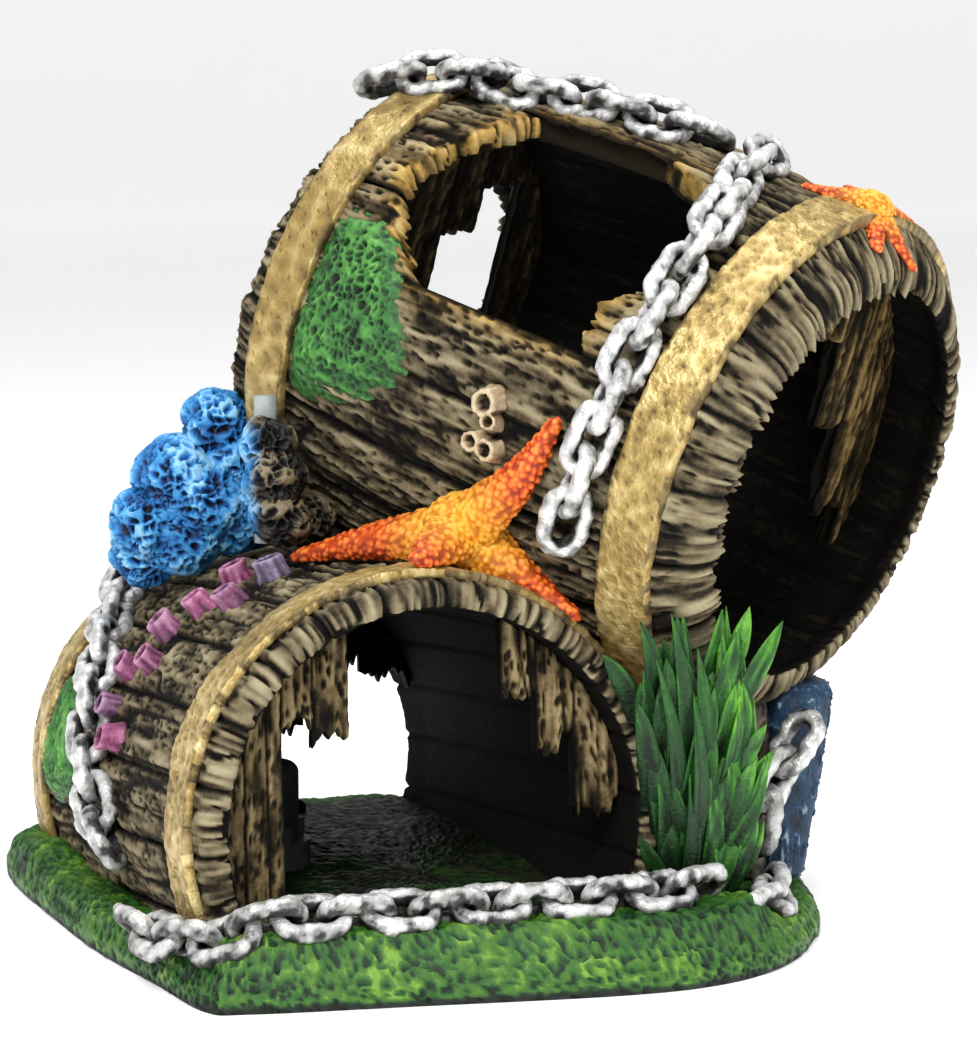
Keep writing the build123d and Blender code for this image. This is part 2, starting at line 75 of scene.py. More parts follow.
# ---- noise ----
def lattice(i, j, k, seed):
    """A fixed random number from 0 to 1 for each whole-number point."""
    n = (i.astype(np.int64) * 374761393 + j.astype(np.int64) * 668265263
         + k.astype(np.int64) * 1274126177 + seed * 144665491) & 0xFFFFFFFF
    n = ((n ^ (n >> 13)) * 1103515245 + 12345) & 0xFFFFFFFF
    n = ((n ^ (n >> 16)) * 668265263) & 0xFFFFFFFF
    return ((n ^ (n >> 15)) & 0xFFFFFF) / float(0xFFFFFF)


def noise(p, seed=0):
    """Smooth noise from -1 to 1: lattice numbers blended by smoothed distances."""
    p = np.asarray(p, float)
    cell = np.floor(p)
    f = p - cell
    f = f * f * (3 - 2 * f)
    i, j, k = cell[..., 0], cell[..., 1], cell[..., 2]
    total = 0
    for di in (0, 1):
        for dj in (0, 1):
            for dk in (0, 1):
                weight = (np.abs(1 - di - f[..., 0]) * np.abs(1 - dj - f[..., 1])
                          * np.abs(1 - dk - f[..., 2]))
                total = total + weight * lattice(i + di, j + dj, k + dk, seed)
    return 2 * total - 1


def fbm(p, octaves=3, seed=0):
    """Noise summed over octaves, each twice as fine and half as strong."""
    total, weight, size = 0, 0, 1.0
    for octave in range(octaves):
        total = total + noise(np.asarray(p) * 2 ** octave + 7.3 * octave, seed + octave) * size
        weight, size = weight + size, size / 2
    return total / weight


def cells(p, seed=0):
    """Distances to the nearest and second nearest of points jittered on a lattice."""
    p = np.asarray(p, float)
    cell = np.floor(p)
    first = np.full(p.shape[:-1], 9.0)
    second = first.copy()
    for di in (-1, 0, 1):
        for dj in (-1, 0, 1):
            for dk in (-1, 0, 1):
                at = cell + (di, dj, dk)
                i, j, k = at[..., 0], at[..., 1], at[..., 2]
                d = np.sqrt(sum((at[..., a] + lattice(i, j, k, seed + 11 * a) - p[..., a]) ** 2
                                for a in range(3)))
                second = np.minimum(second, np.maximum(first, d))
                first = np.minimum(first, d)
    return first, second


def ease(x, low, high):
    """0 below low, 1 above high, and smooth between."""
    t = np.clip((x - low) / (high - low), 0, 1)
    return t * t * (3 - 2 * t)


def stack(*parts):
    return np.stack(np.broadcast_arrays(*parts), axis=-1).astype(float)


def unit(v):
    v = np.asarray(v, float)
    return v / np.linalg.norm(v, axis=-1, keepdims=True)


# ---- meshes ----
def quads(rows, columns, around_rows=False, around_columns=False):
    """Corner numbers of the squares of a grid, closed round on itself where asked."""
    r = np.arange(rows if around_rows else rows - 1)[:, None]
    c = np.arange(columns if around_columns else columns - 1)[None, :]
    r2, c2 = (r + 1) % rows, (c + 1) % columns
    return np.stack([r * columns + c, r2 * columns + c, r2 * columns + c2, r * columns + c2],
                    axis=-1).reshape(-1, 4)


class Skin:
    """Gathers closed grids and makes them one object."""

    def __init__(self):
        self.points, self.faces, self.relief, self.tint, self.count = [], [], [], [], 0

    def take(self, points, faces, relief, tint):
        """Adds a closed surface, turned so that its volume is positive."""
        points = points.reshape(-1, 3)
        a, b, c, d = (points[faces[:, n]] for n in range(4))
        if np.sum(a * np.cross(b, c)) + np.sum(a * np.cross(c, d)) < 0:
            faces = faces[:, ::-1]
        self.points.append(points)
        self.faces.append(faces + self.count)
        self.relief.append(np.broadcast_to(relief, points.shape[:1]).reshape(-1))
        self.tint.append(np.broadcast_to(tint, points.shape[:1]).reshape(-1))
        self.count += len(points)

    def ring(self, points, relief, tint):
        """A row of closed profiles that runs round to its own start."""
        rows, round_ = points.shape[:2]
        self.take(points, quads(rows, round_, True, True), relief.reshape(-1),
                  tint.reshape(-1))

    def tube(self, points, relief, tint):
        """A row of closed profiles (row, round the profile), its two ends laddered shut.

        Sample k of an end profile is joined to sample last - k, which faces it.
        """
        rows, round_ = points.shape[:2]
        faces = [quads(rows, round_, around_columns=True)]
        k = np.arange(round_ // 2 - 1)
        for row in (0, rows - 1):
            base = row * round_
            rung = np.stack([base + k, base + k + 1, base + round_ - 2 - k,
                             base + round_ - 1 - k], axis=-1)
            faces.append(rung[:, ::-1] if row == 0 else rung)
        self.take(points, np.concatenate(faces), relief.reshape(-1), tint.reshape(-1))

    def make(self, name, material, nodes, slot):
        """Makes the object, riding the ornament and standing in for its CAD nodes."""
        points = (np.concatenate(self.points) + MOUTH) * 0.001
        faces = np.concatenate(self.faces)
        mesh = bpy.data.meshes.new(name)
        mesh.vertices.add(len(points))
        mesh.vertices.foreach_set("co", points.astype(np.float32).ravel())
        mesh.loops.add(faces.size)
        mesh.loops.foreach_set("vertex_index", faces.astype(np.int32).ravel())
        mesh.polygons.add(len(faces))
        mesh.polygons.foreach_set("loop_start", np.arange(0, faces.size, 4, dtype=np.int32))
        mesh.polygons.foreach_set("use_smooth", np.ones(len(faces), bool))
        for key, values in (("relief", self.relief), ("tint", self.tint)):
            attribute = mesh.attributes.new(key, "FLOAT", "POINT")
            attribute.data.foreach_set("value", np.concatenate(values).astype(np.float32))
        mesh.update(calc_edges=True)
        mesh.validate()
        mesh.materials.append(material)
        piece = bpy.data.objects.new(name, mesh)
        bpy.context.scene.collection.objects.link(piece)
        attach(piece, "ornament")
        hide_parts(*nodes)


# ---- materials ----
class Socket:
    """A node's output; arithmetic on it adds Math nodes."""

    def __init__(self, paint, link):
        self.paint, self.link = paint, link

    def maths(self, operation, *values):
        return self.paint.node("ShaderNodeMath", {"operation": operation},
                               dict(enumerate(values)))

    def __add__(self, other):
        return self.maths("ADD", self, other)

    def __sub__(self, other):
        return self.maths("SUBTRACT", self, other)

    def __mul__(self, other):
        return self.maths("MULTIPLY", self, other)

    __radd__, __rmul__ = __add__, __mul__

    def between(self, low, high):
        """0 below low, 1 above high, smooth between."""
        return self.paint.node("ShaderNodeMapRange", {"interpolation_type": "SMOOTHSTEP"},
                               {"Value": self, "From Min": low, "From Max": high})


class Paint:
    """One material, its nodes added by a single method."""

    def __init__(self, name):
        self.material = bpy.data.materials.new(name)
        self.material.use_nodes = True
        self.tree = self.material.node_tree
        self.shader = self.tree.nodes["Principled BSDF"]

    def node(self, kind, settings=None, inputs=None, output=0):
        made = self.tree.nodes.new(kind)
        for key, value in (settings or {}).items():
            if key == "stops":
                ramp = made.color_ramp
                while len(ramp.elements) < len(value):
                    ramp.elements.new(0.5)
                for element, (position, colour) in zip(ramp.elements, value):
                    element.position, element.color = position, (*colour, 1)
            else:
                setattr(made, key, value)
        for key, value in (inputs or {}).items():
            self.plug(made.inputs[key], value)
        return Socket(self, made.outputs[output])

    def plug(self, socket, value):
        if isinstance(value, Socket):
            self.tree.links.new(value.link, socket)
        elif isinstance(value, tuple) and len(value) == 3 and socket.type == "RGBA":
            socket.default_value = (*value, 1)
        else:
            socket.default_value = value

    def attribute(self, name):
        return self.node("ShaderNodeAttribute", {"attribute_name": name}, output="Fac")

    def speckle(self, scale, detail=3.0, rough=0.6):
        """Noise on object coordinates; scale is in features per metre."""
        return self.node("ShaderNodeTexNoise", {}, {"Vector": self.where(), "Scale": scale,
                                                    "Detail": detail, "Roughness": rough})

    def pits(self, scale, feature="F1"):
        return self.node("ShaderNodeTexVoronoi", {"feature": feature},
                         {"Vector": self.where(), "Scale": scale})

    def where(self):
        return self.node("ShaderNodeTexCoord", {}, {}, "Object")

    def ramp(self, factor, *stops):
        return self.node("ShaderNodeValToRGB", {"stops": stops}, {"Fac": factor})

    def mix(self, factor, a, b, blend="MIX"):
        made = self.tree.nodes.new("ShaderNodeMix")
        made.data_type, made.blend_type = "RGBA", blend
        for socket, value in ((made.inputs[0], factor), (made.inputs[6], a),
                              (made.inputs[7], b)):
            self.plug(socket, value)
        return Socket(self, made.outputs[2])

    def bump(self, height, strength, distance):
        return self.node("ShaderNodeBump", {}, {"Height": height, "Strength": strength,
                                                "Distance": distance})

    def finish(self, **inputs):
        for key, value in inputs.items():
            self.plug(self.shader.inputs[key.replace("_", " ")], value)
        return self.material


def dry_brushed(name, stops, accent=None, rough=0.62, metal=0.0, grain=900.0, bump=0.5,
                spread=0.30, shine=0.4):
    """Paint by height: dark wash low, base colour between, dry brushing on the ridges."""
    p = Paint(name)
    height = (p.attribute("relief") + (p.speckle(grain) - 0.5) * spread
              + (p.speckle(grain * 0.13) - 0.5) * (0.6 * spread))
    colour = p.ramp(height, *stops)
    if accent:
        colour = p.mix(p.attribute("tint"), colour, p.ramp(height, *accent))
    fine = p.speckle(grain * 2.2, 2.0) + p.pits(grain * 1.3) * 0.6
    p.shader.inputs["Specular IOR Level"].default_value = shine
    settings = {"Base_Color": colour, "Normal": p.bump(fine, bump, 0.0004)}
    settings["Roughness"] = (height * -0.12) + rough if metal == 0 else height * -0.25 + rough
    if metal:
        settings["Metallic"] = height.between(0.25, 0.6) * metal
    return p.finish(**settings)


# The ochre accent is the tan of broken wood; on the mouth boards it is set stronger where they are
# lit, as painted highlight.
wood = dry_brushed("weathered_wood", [
    (0.16, (0.004, 0.0035, 0.003)), (0.34, (0.022, 0.017, 0.010)), (0.50, (0.095, 0.075, 0.043)),
    (0.68, (0.22, 0.18, 0.105)), (0.95, (0.38, 0.33, 0.205))], accent=[
    (0.16, (0.010, 0.007, 0.003)), (0.36, (0.06, 0.038, 0.011)), (0.58, (0.30, 0.185, 0.048)),
    (0.80, (0.52, 0.34, 0.105)), (0.96, (0.64, 0.46, 0.18))], rough=0.85, shine=0.12)
mossy_wood = dry_brushed("mossy_wood", [
    (0.10, (0.006, 0.007, 0.004)), (0.38, (0.012, 0.05, 0.012)), (0.62, (0.035, 0.15, 0.03)),
    (0.88, (0.09, 0.30, 0.05)), (0.97, (0.16, 0.42, 0.08))])
gold = dry_brushed("hammered_gold", [
    (0.10, (0.04, 0.024, 0.007)), (0.34, (0.19, 0.12, 0.035)), (0.62, (0.47, 0.33, 0.11)),
    (0.92, (0.82, 0.65, 0.30))], accent=[
    (0.1, (0.008, 0.006, 0.004)), (0.5, (0.05, 0.035, 0.015)), (0.9, (0.34, 0.25, 0.11))],
    rough=0.56, metal=0.45, spread=0.22)
silver = dry_brushed("silver_chain", [
    (0.16, (0.006, 0.006, 0.006)), (0.36, (0.05, 0.05, 0.048)), (0.52, (0.33, 0.33, 0.32)),
    (0.74, (0.62, 0.62, 0.61)), (0.96, (0.88, 0.88, 0.87))], rough=0.48, metal=0.35,
    spread=0.32)
# The dark accent is painted shade, for the floor inside the low barrel.
moss = dry_brushed("moss", [
    (0.16, (0.002, 0.008, 0.002)), (0.42, (0.006, 0.034, 0.007)), (0.62, (0.022, 0.105, 0.012)),
    (0.82, (0.058, 0.165, 0.014)), (0.98, (0.17, 0.33, 0.034))], accent=[
    (0.2, (0.004, 0.004, 0.003)), (0.6, (0.02, 0.018, 0.01)), (0.97, (0.13, 0.11, 0.06))],
    rough=0.58)
grass = dry_brushed("grass_blades", [
    (0.14, (0.003, 0.012, 0.003)), (0.40, (0.008, 0.060, 0.008)), (0.64, (0.035, 0.17, 0.012)),
    (0.92, (0.13, 0.40, 0.025))], rough=0.50)
orange = dry_brushed("starfish_orange", [
    (0.10, (0.26, 0.024, 0.004)), (0.36, (0.58, 0.070, 0.007)), (0.64, (0.82, 0.135, 0.012)),
    (0.95, (0.93, 0.28, 0.05))], accent=[
    (0.12, (0.62, 0.20, 0.01)), (0.45, (0.88, 0.44, 0.025)), (0.90, (0.95, 0.62, 0.09))],
    rough=0.50, spread=0.20)
# The near-black accent is painted shade, for the coral's right side under the high barrel.
coral_paint = dry_brushed("blue_coral", [
    (0.22, (0.002, 0.005, 0.014)), (0.42, (0.006, 0.05, 0.19)), (0.62, (0.014, 0.16, 0.46)),
    (0.86, (0.07, 0.36, 0.74)), (0.98, (0.28, 0.60, 0.86))], accent=[
    (0.3, (0.003, 0.003, 0.003)), (0.74, (0.012, 0.011, 0.010)), (1.0, (0.24, 0.19, 0.11))],
    rough=0.55)
sponge_paint = dry_brushed("navy_sponge", [
    (0.20, (0.004, 0.009, 0.018)), (0.50, (0.016, 0.05, 0.105)), (0.76, (0.05, 0.12, 0.21)),
    (0.96, (0.34, 0.42, 0.48))], rough=0.62)
pink = dry_brushed("tubeworm_pink", [
    (0.20, (0.012, 0.004, 0.008)), (0.46, (0.13, 0.022, 0.070)), (0.72, (0.33, 0.075, 0.19)),
    (0.96, (0.55, 0.24, 0.38))], accent=[
    (0.20, (0.012, 0.010, 0.016)), (0.50, (0.12, 0.09, 0.16)), (0.95, (0.38, 0.31, 0.46))],
    rough=0.55)
tan = dry_brushed("barnacle_tan", [
    (0.14, (0.02, 0.014, 0.008)), (0.45, (0.30, 0.21, 0.11)), (0.90, (0.62, 0.50, 0.32))])
rock_paint = dry_brushed("dark_rock", [
    (0.20, (0.004, 0.004, 0.004)), (0.55, (0.02, 0.017, 0.012)), (0.80, (0.075, 0.06, 0.038)),
    (0.97, (0.22, 0.18, 0.12))])


def plain(name, colour, rough, scale, shade=0.25, bump=0.35, **fixed):
    """A moulded or bonded material with fine mottling and grain."""
    p = Paint(name)
    spots = p.speckle(scale)
    darker = tuple(c * (1 - shade) for c in colour)
    return p.finish(Base_Color=p.mix(spots.between(0.35, 0.65), darker, colour),
                    Roughness=spots * 0.2 + (rough - 0.1),
                    Normal=p.bump(p.pits(scale * 2.0), bump, 0.0002), **fixed)


fitting = plain("grey_fitting", (0.10, 0.105, 0.11), 0.45, 1200.0)
grit = plain("bonded_grit", (0.07, 0.08, 0.085), 0.9, 2600.0, 0.5, 0.9)
clear = plain("clear_tube", (0.72, 0.78, 0.78), 0.35, 500.0, 0.1, 0.1, Transmission_Weight=0.55,
              IOR=1.42)


# ---- barrels ----
def facing(yaw, tilt):
    yaw, tilt = math.radians(yaw), math.radians(tilt)
    return np.array([math.sin(yaw) * math.cos(tilt), -math.cos(yaw) * math.cos(tilt),
                     math.sin(tilt)])


class Barrel:
    """Mouth centre, axis and outline (distance back, outside radius) at five stations."""

    def __init__(self, mouth, axis, length, belly, shares, wall, hoops, hoop_w, hoop_t):
        self.mouth, self.axis, self.length, self.wall = mouth, axis, length, wall
        self.right = unit(np.cross([0, 0, 1], axis))
        self.up = np.cross(axis, self.right)
        self.backs = np.array([0, shares[0][0], shares[1][0], shares[2][0], 1]) * length
        self.radii = np.array([shares[3], shares[0][1], shares[1][1], shares[2][1],
                               shares[4]]) * belly
        self.hoops, self.hoop_w, self.hoop_t = hoops, hoop_w, hoop_t

    def radius(self, back):
        """Straight at both ends, a parabola through the chimes and belly between."""
        b, r = self.backs, self.radii
        back = np.asarray(back, float)
        bow = sum(r[i] * np.prod([(back - b[j]) / (b[i] - b[j]) for j in (1, 2, 3) if j != i],
                                 axis=0) for i in (1, 2, 3))
        front = r[0] + (r[1] - r[0]) * (back - b[0]) / (b[1] - b[0])
        rear = r[3] + (r[4] - r[3]) * (back - b[3]) / (b[4] - b[3])
        return np.where(back <= b[1], front, np.where(back >= b[3], rear, bow))

    def around(self, angle):
        a = np.radians(np.asarray(angle, float))[..., None]
        return self.right * np.cos(a) + self.up * np.sin(a)

    def point(self, back, angle, lift=0.0):
        """mouth - axis * back + outward * (radius + lift)."""
        back = np.asarray(back, float)
        return (self.mouth - self.axis * back[..., None]
                + self.around(angle) * (self.radius(back) + lift)[..., None])

    def normal(self, back, angle):
        slope = self.radius(np.asarray(back) + 0.5) - self.radius(np.asarray(back) - 0.5)
        return unit(self.around(angle) + self.axis * np.asarray(slope)[..., None])


low = Barrel(np.zeros(3), facing(0, LOW_TILT), LOW_LENGTH, LOW_BELLY,
             [(0.042, 0.958), (0.5, 1.0), (0.915, 0.970), 0.932, 0.937], LOW_WALL,
             (0.082 * LOW_LENGTH, 0.875 * LOW_LENGTH), 9.6, 1.2)
UPP_SHARES = [(0.060, 0.951), (0.484, 1.0), (0.909, 0.908), 0.830, 0.833]
UPP_HOOPS = (0.106 * UPP_LENGTH, 0.872 * UPP_LENGTH)
upp = Barrel(np.zeros(3), facing(UPP_YAW, UPP_TILT), UPP_LENGTH, UPP_BELLY, UPP_SHARES,
             UPP_WALL, UPP_HOOPS, 9.0, 1.7)
apart = low.radius(LOW_CROSS) + upp.radius(UPP_CROSS) - SEAT
upp.mouth = (-low.axis * LOW_CROSS + unit(np.cross(low.axis, upp.axis)) * apart
             + upp.axis * UPP_CROSS)


def weather(s, back, seed, coarse=1.0):
    """Height of weathered grain from 0 to 1: long warped ridges, cut by pores and cracks."""
    warp = 0.9 * noise(stack(s / 7, back / 16, seed), seed)
    u = (s + warp) / coarse
    ridges = noise(stack(u / 1.15, back / 8.5, seed + 0.5), seed + 1)
    fine = noise(stack(u / 0.55, back / 3.6, seed + 2.5), seed + 2)
    lumps = noise(stack(u / 3.2, back / 6.0, seed + 4.5), seed + 3)
    pore, _ = cells(stack(u / 1.25, back / 2.6, seed + 1.5), seed + 4)
    crack = ease(np.abs(noise(stack(u / 4.2, back / 30, seed + 6.5), seed + 6)), 0.0, 0.07)
    height = 0.58 + 0.42 * ridges + 0.26 * fine + 0.20 * lumps
    return np.clip(height * (0.25 + 0.75 * ease(pore, 0.16, 0.50)) * (0.3 + 0.7 * crack), 0, 1)


def plank(skin, place, across, start, stop, thick, rows, cap, height, tint, depth=0.9):
    """A board: place(u, v, w) maps its grid; columns run from start(u) to stop(u).

    Each column is a closed profile: along the face (w = 0), round the end in a half
    ellipse, back along the other face (w = -thick) and round the first end. height(u, v, w)
    is the relief, which also lifts the surface by up to depth.
    """
    t = np.linspace(0, 1, rows)
    arc = np.linspace(0, math.pi, 9)[1:-1]
    half = thick / 2
    length = (stop - start)[:, None]
    run = start[:, None] + cap + (length - 2 * cap) * t
    v = np.concatenate([run, stop[:, None] - cap + cap * np.sin(arc), run[:, ::-1],
                        start[:, None] + cap - cap * np.sin(arc)], axis=1)
    w = np.concatenate([np.zeros(rows), -half + half * np.cos(arc), np.full(rows, -thick),
                        -half - half * np.cos(arc)])
    nv = np.concatenate([np.zeros(rows), np.sin(arc), np.zeros(rows), -np.sin(arc)])
    nw = np.concatenate([np.ones(rows), np.cos(arc), -np.ones(rows), -np.cos(arc)])
    u = np.broadcast_to(across[:, None], v.shape)
    w = np.broadcast_to(w, v.shape)
    relief = height(u, v, w)
    edge = np.minimum(u - across[0], across[-1] - u)
    span = across[-1] - across[0]
    groove = np.exp(-(edge / (0.045 * span)) ** 2)
    lift = depth * (relief - 0.62) - 0.7 * groove
    relief = relief * (1 - 0.85 * groove)
    points = place(u, v + nv * lift, w + nw * lift)
    skin.tube(points, relief, np.broadcast_to(tint(u, v, w), v.shape))


def on_barrel(barrel):
    def place(u, v, w):
        return barrel.point(v, u, w)
    return place


def staves_of(barrel, count, turn, seed, columns):
    """Number, column angles and seed of each stave, counted from the angle turn."""
    step = 360 / count
    gap = math.degrees(0.03 / barrel.radii[2])
    for i in range(count):
        a0 = turn + i * step
        yield i, np.linspace(a0 + gap / 2, a0 + step - gap / 2, columns), seed + 3 * i


def stave_height(barrel, seed, painted_shade_inside=0.30):
    """Grain outside, grain darkened inside as painted shade, and radial ridges round both ends."""
    def height(u, v, w):
        s = np.radians(u) * barrel.radii[2]
        grain = weather(s, v, seed)
        inner = w < -0.8 * barrel.wall
        lines = 0.62 + 0.42 * noise(stack(s / 0.75, w / 5, v / 5 + seed), seed + 8)
        crack = np.abs(noise(stack(s / 3.4, w / 9, seed + 3.1), seed + 9))
        lines = lines * ease(crack, 0.02, 0.10)
        at_end = (w < -0.06 * barrel.wall) & ~inner
        near = np.where(v < 6, ease(v, 1.0, 5.0), 1.0)
        mixed = np.where(at_end, lines, grain * near + lines * (1 - near))
        return np.clip(np.where(inner, painted_shade_inside * grain, mixed), 0, 1)
    return height


def ragged(u, scale, amount, seed):
    """Splintered end: steps and teeth from two sizes of noise."""
    u = np.asarray(u, float)
    coarse = noise(stack(u / scale, seed, 0.5), seed)
    teeth = np.abs(noise(stack(u / (0.28 * scale), seed, 2.5), seed + 1))
    return amount * (0.6 * coarse + 0.7 * teeth)


def no_tint(u, v, w):
    return np.zeros_like(v)


# low barrel: the staves that show above the base, cut off just under its moss
LOW_COLUMNS = 26
floor_angle = math.degrees(math.asin(-FLOOR / low.radius(60)))
skins = [Skin(), Skin(), Skin()]
for i, angles, seed in staves_of(low, LOW_STAVES, 4, 10, LOW_COLUMNS):
    middle = (angles[0] + angles[-1]) / 2
    left_end, right_end = 183 + floor_angle, 357 - floor_angle
    if left_end < middle < right_end:
        continue
    if angles[0] < left_end < angles[-1]:
        angles = np.linspace(angles[0], left_end, LOW_COLUMNS)
    if angles[0] < right_end < angles[-1]:
        angles = np.linspace(right_end, angles[-1], LOW_COLUMNS)
    rear = LOW_LENGTH - 1.2 * np.abs(noise(stack(angles / 4, 1.5, 0.5), seed))
    front = 0.35 * noise(stack(angles / 3, 8.5, 0.5), seed)
    # The low barrel's inside is darker still: painted shade.
    height = stave_height(low, seed, 0.16)
    plank(skins[i % 3], on_barrel(low), angles, front, rear, LOW_WALL, 130, 2.2, height,
          no_tint, 1.2)
for n, skin in enumerate(skins):
    skin.make(f"low_barrel_staves_{n + 1}", wood, ("lower_staves",), "weathered_wood")

# high barrel, with its broken top and ragged rear
HOLE = [(0.701, 151), (0.750, 136), (0.716, 122), (0.650, 106), (0.420, 106),
        (0.300, 112), (0.235, 128), (0.240, 141), (0.315, 149), (0.300, 160), (0.630, 160)]
REAR_SHORT = (2.0, 1.0, 2.5, 1.5, 3.0, 4.0, 4.2, 3.4, 2.6, 0.8,
              0.5, 1.6, 2.4, 1.0, 2.8, 1.4, 0.6, 2.2, 1.2, 2.6)


def hole_span(angles):
    """Front and rear edge of the broken hole at each angle, from its outline."""
    first, last = np.full(len(angles), 1e9), np.full(len(angles), -1e9)
    for (d0, a0), (d1, a1) in zip(HOLE, HOLE[1:] + HOLE[:1]):
        if a0 == a1:
            continue
        hit = (np.minimum(a0, a1) <= angles) & (angles <= np.maximum(a0, a1))
        d = (d0 + (d1 - d0) * (angles - a0) / (a1 - a0)) * UPP_LENGTH
        first = np.where(hit, np.minimum(first, d), first)
        last = np.where(hit, np.maximum(last, d), last)
    return first, last


def ochre_edge(edge, reach, strength=1.0):
    """Tint that fades with the distance from a broken edge."""
    def tint(u, v, w):
        gap = np.abs(v - edge[:, None])
        patchy = 0.5 + 0.9 * noise(stack(u / 2.2, v / 3, w / 4), 77)
        return np.clip(strength * np.exp(-gap / reach) * (0.5 + patchy), 0, 1)
    return tint


skins = [Skin(), Skin(), Skin()]
for i, angles, seed in staves_of(upp, UPP_STAVES, 16, 200, 32):
    middle = ((angles[0] + angles[-1]) / 2) % 360
    rear = (UPP_LENGTH - REAR_SHORT[i % 20]
            - ragged(angles, 5.0, 1.2, seed) - 0.2)
    front = 0.3 * noise(stack(angles / 3, 8.5, 0.5), seed)
    height = stave_height(upp, seed)
    skin = skins[i % 3]
    if 106 < middle < 160:
        first, last = hole_span(angles)
        first = first - ragged(angles, 4.5, 2.6, seed + 1)
        last = last + ragged(angles, 4.5, 3.0, seed + 2)
        plank(skin, on_barrel(upp), angles, front, first, UPP_WALL, 60, 1.6, height,
              ochre_edge(first, 3.0), 1.5)
        plank(skin, on_barrel(upp), angles, last, rear, UPP_WALL, 60, 1.6, height,
              ochre_edge(last, 3.5), 1.5)
        continue
    tint = no_tint
    if 88 < middle < 106 or 160 < middle < 178:
        side = 106 if middle < 106 else 160

        def tint(u, v, w, side=side):
            near = np.exp(-np.abs(u - side) / 2.2) * ease(v, 26, 34) * (1 - ease(v, 68, 76))
            return np.clip(near * 1.2, 0, 1)
    plank(skin, on_barrel(upp), angles, front, rear, UPP_WALL, 120, 2.6, height, tint, 1.5)
for n, skin in enumerate(skins):
    skin.make(f"high_barrel_staves_{n + 1}", wood, ("upper_staves",), "weathered_wood")


# ---- hoops: bands of beaten metal ----
def hoop(name, node, barrel, centre, start, end, beat):
    """A band round the barrel: flat profile with rounded edges, pitted by hammer marks."""
    closed = end - start >= 360
    angles = np.linspace(start, end, 520, endpoint=not closed)
    half, thick = barrel.hoop_w / 2, barrel.hoop_t
    arc = np.linspace(0, math.pi, 7)[1:-1]
    run = np.linspace(-half, half, 18)
    v = np.concatenate([run, half + 0.35 * np.sin(arc), run[::-1], -half - 0.35 * np.sin(arc)])
    w = np.concatenate([np.zeros(18), -(1 - np.cos(arc)) / 2, -np.ones(18),
                        -(1 + np.cos(arc)) / 2]) * (thick + 0.4) + thick
    u, v = np.meshgrid(angles, v, indexing="ij")
    w = np.broadcast_to(w, v.shape)
    s = np.radians(u) * barrel.radii[2]
    dent, _ = cells(stack(s / beat, v / beat, centre), 31)
    small, _ = cells(stack(s / 0.9, v / 0.9, centre + 3), 32)
    wave = noise(stack(s / 9, v / 6, centre), 33)
    relief = np.clip(0.35 + 0.55 * dent + 0.15 * wave - 0.35 * (1 - ease(small, 0.1, 0.34)),
                     0, 1)
    worn = 0.8 * np.exp(-(half - np.abs(v)).clip(0) / 0.5) * (noise(
        stack(s / 2.5, v, 1.5), 34) > 0.05)
    outer = w > 0.4 * thick
    lift = np.where(outer, 0.8 * (relief - 0.6) + 0.25 * wave, 0)
    edge = v + 0.35 * noise(stack(s / 5, centre, 2.5), 35) * np.sign(v)
    points = barrel.point(centre + edge, u, w + lift)
    skin = Skin()
    if closed:
        skin.ring(points, relief, worn)
    else:
        skin.tube(points, relief, worn)
    skin.make(name, gold, (node,), "gold_paint")


hoop("low_front_hoop_beaten", "lower_front_hoop", low, low.hoops[0], -27.5, 207.5, 1.7)
hoop("low_rear_hoop_beaten", "lower_rear_hoop", low, low.hoops[1], -27.5, 207.5, 3.2)
hoop("high_front_hoop_beaten", "upper_front_hoop", upp, upp.hoops[0], 0, 360, 1.9)
hoop("high_rear_hoop_beaten", "upper_rear_hoop", upp, upp.hoops[1], 0, 360, 3.4)


# ---- boards across the barrel ends ----
def in_barrel(barrel, depth):
    """Maps (x, y, thickness) across a barrel end to space."""
    def place(u, v, w):
        return (barrel.mouth + barrel.right * u[..., None] + barrel.up * v[..., None]
                - barrel.axis * (depth - w)[..., None])
    return place


def boards(name, node, barrel, depth, thick, spans, bottom, seed, painted_light=0.8, ochre=0.0):
    """Weathered boards cut to the round of the barrel, splintered where they are broken.

    Their lightness scales the relief as painted light and shade: near 1 for boards lit in the
    mouths, low for boards deep in a barrel. The ochre tint is the tan of broken wood, set
    stronger on the lit mouth boards as painted highlight.
    """
    r = float(barrel.radius(depth)) - barrel.wall + 1.0
    skin = Skin()
    for n, (x0, x1, y0, y1) in enumerate(spans):
        u = np.linspace((x0 - 0.008) * r, (x1 + 0.008) * r, 18)
        u = np.clip(u, -0.985 * r, 0.985 * r)
        reach = np.sqrt(np.maximum(r * r - u * u, 1.0))
        start = np.full(18, 0.0) + (np.maximum(-reach, bottom) if y0 is None else y0 * r)
        stop = np.full(18, 0.0) + (reach if y1 is None else y1 * r)
        if y0 is not None:
            start = start - ragged(u, 2.6, 5.0, seed + n) + 1.0
        if y1 is not None:
            stop = stop + ragged(u, 2.6, 4.0, seed + n + 40) - 1.0
        stop = np.maximum(stop, start + 3.0)

        def height(u, v, w, k=seed + n):
            return painted_light * weather(u, v, k, 0.8)

        def tint(u, v, w):
            return np.full(v.shape, ochre)
        plank(skin, in_barrel(barrel, depth), u, start, stop, thick, 60, 1.0, height, tint, 1.3)
    skin.make(name, wood, (node,), "weathered_wood")
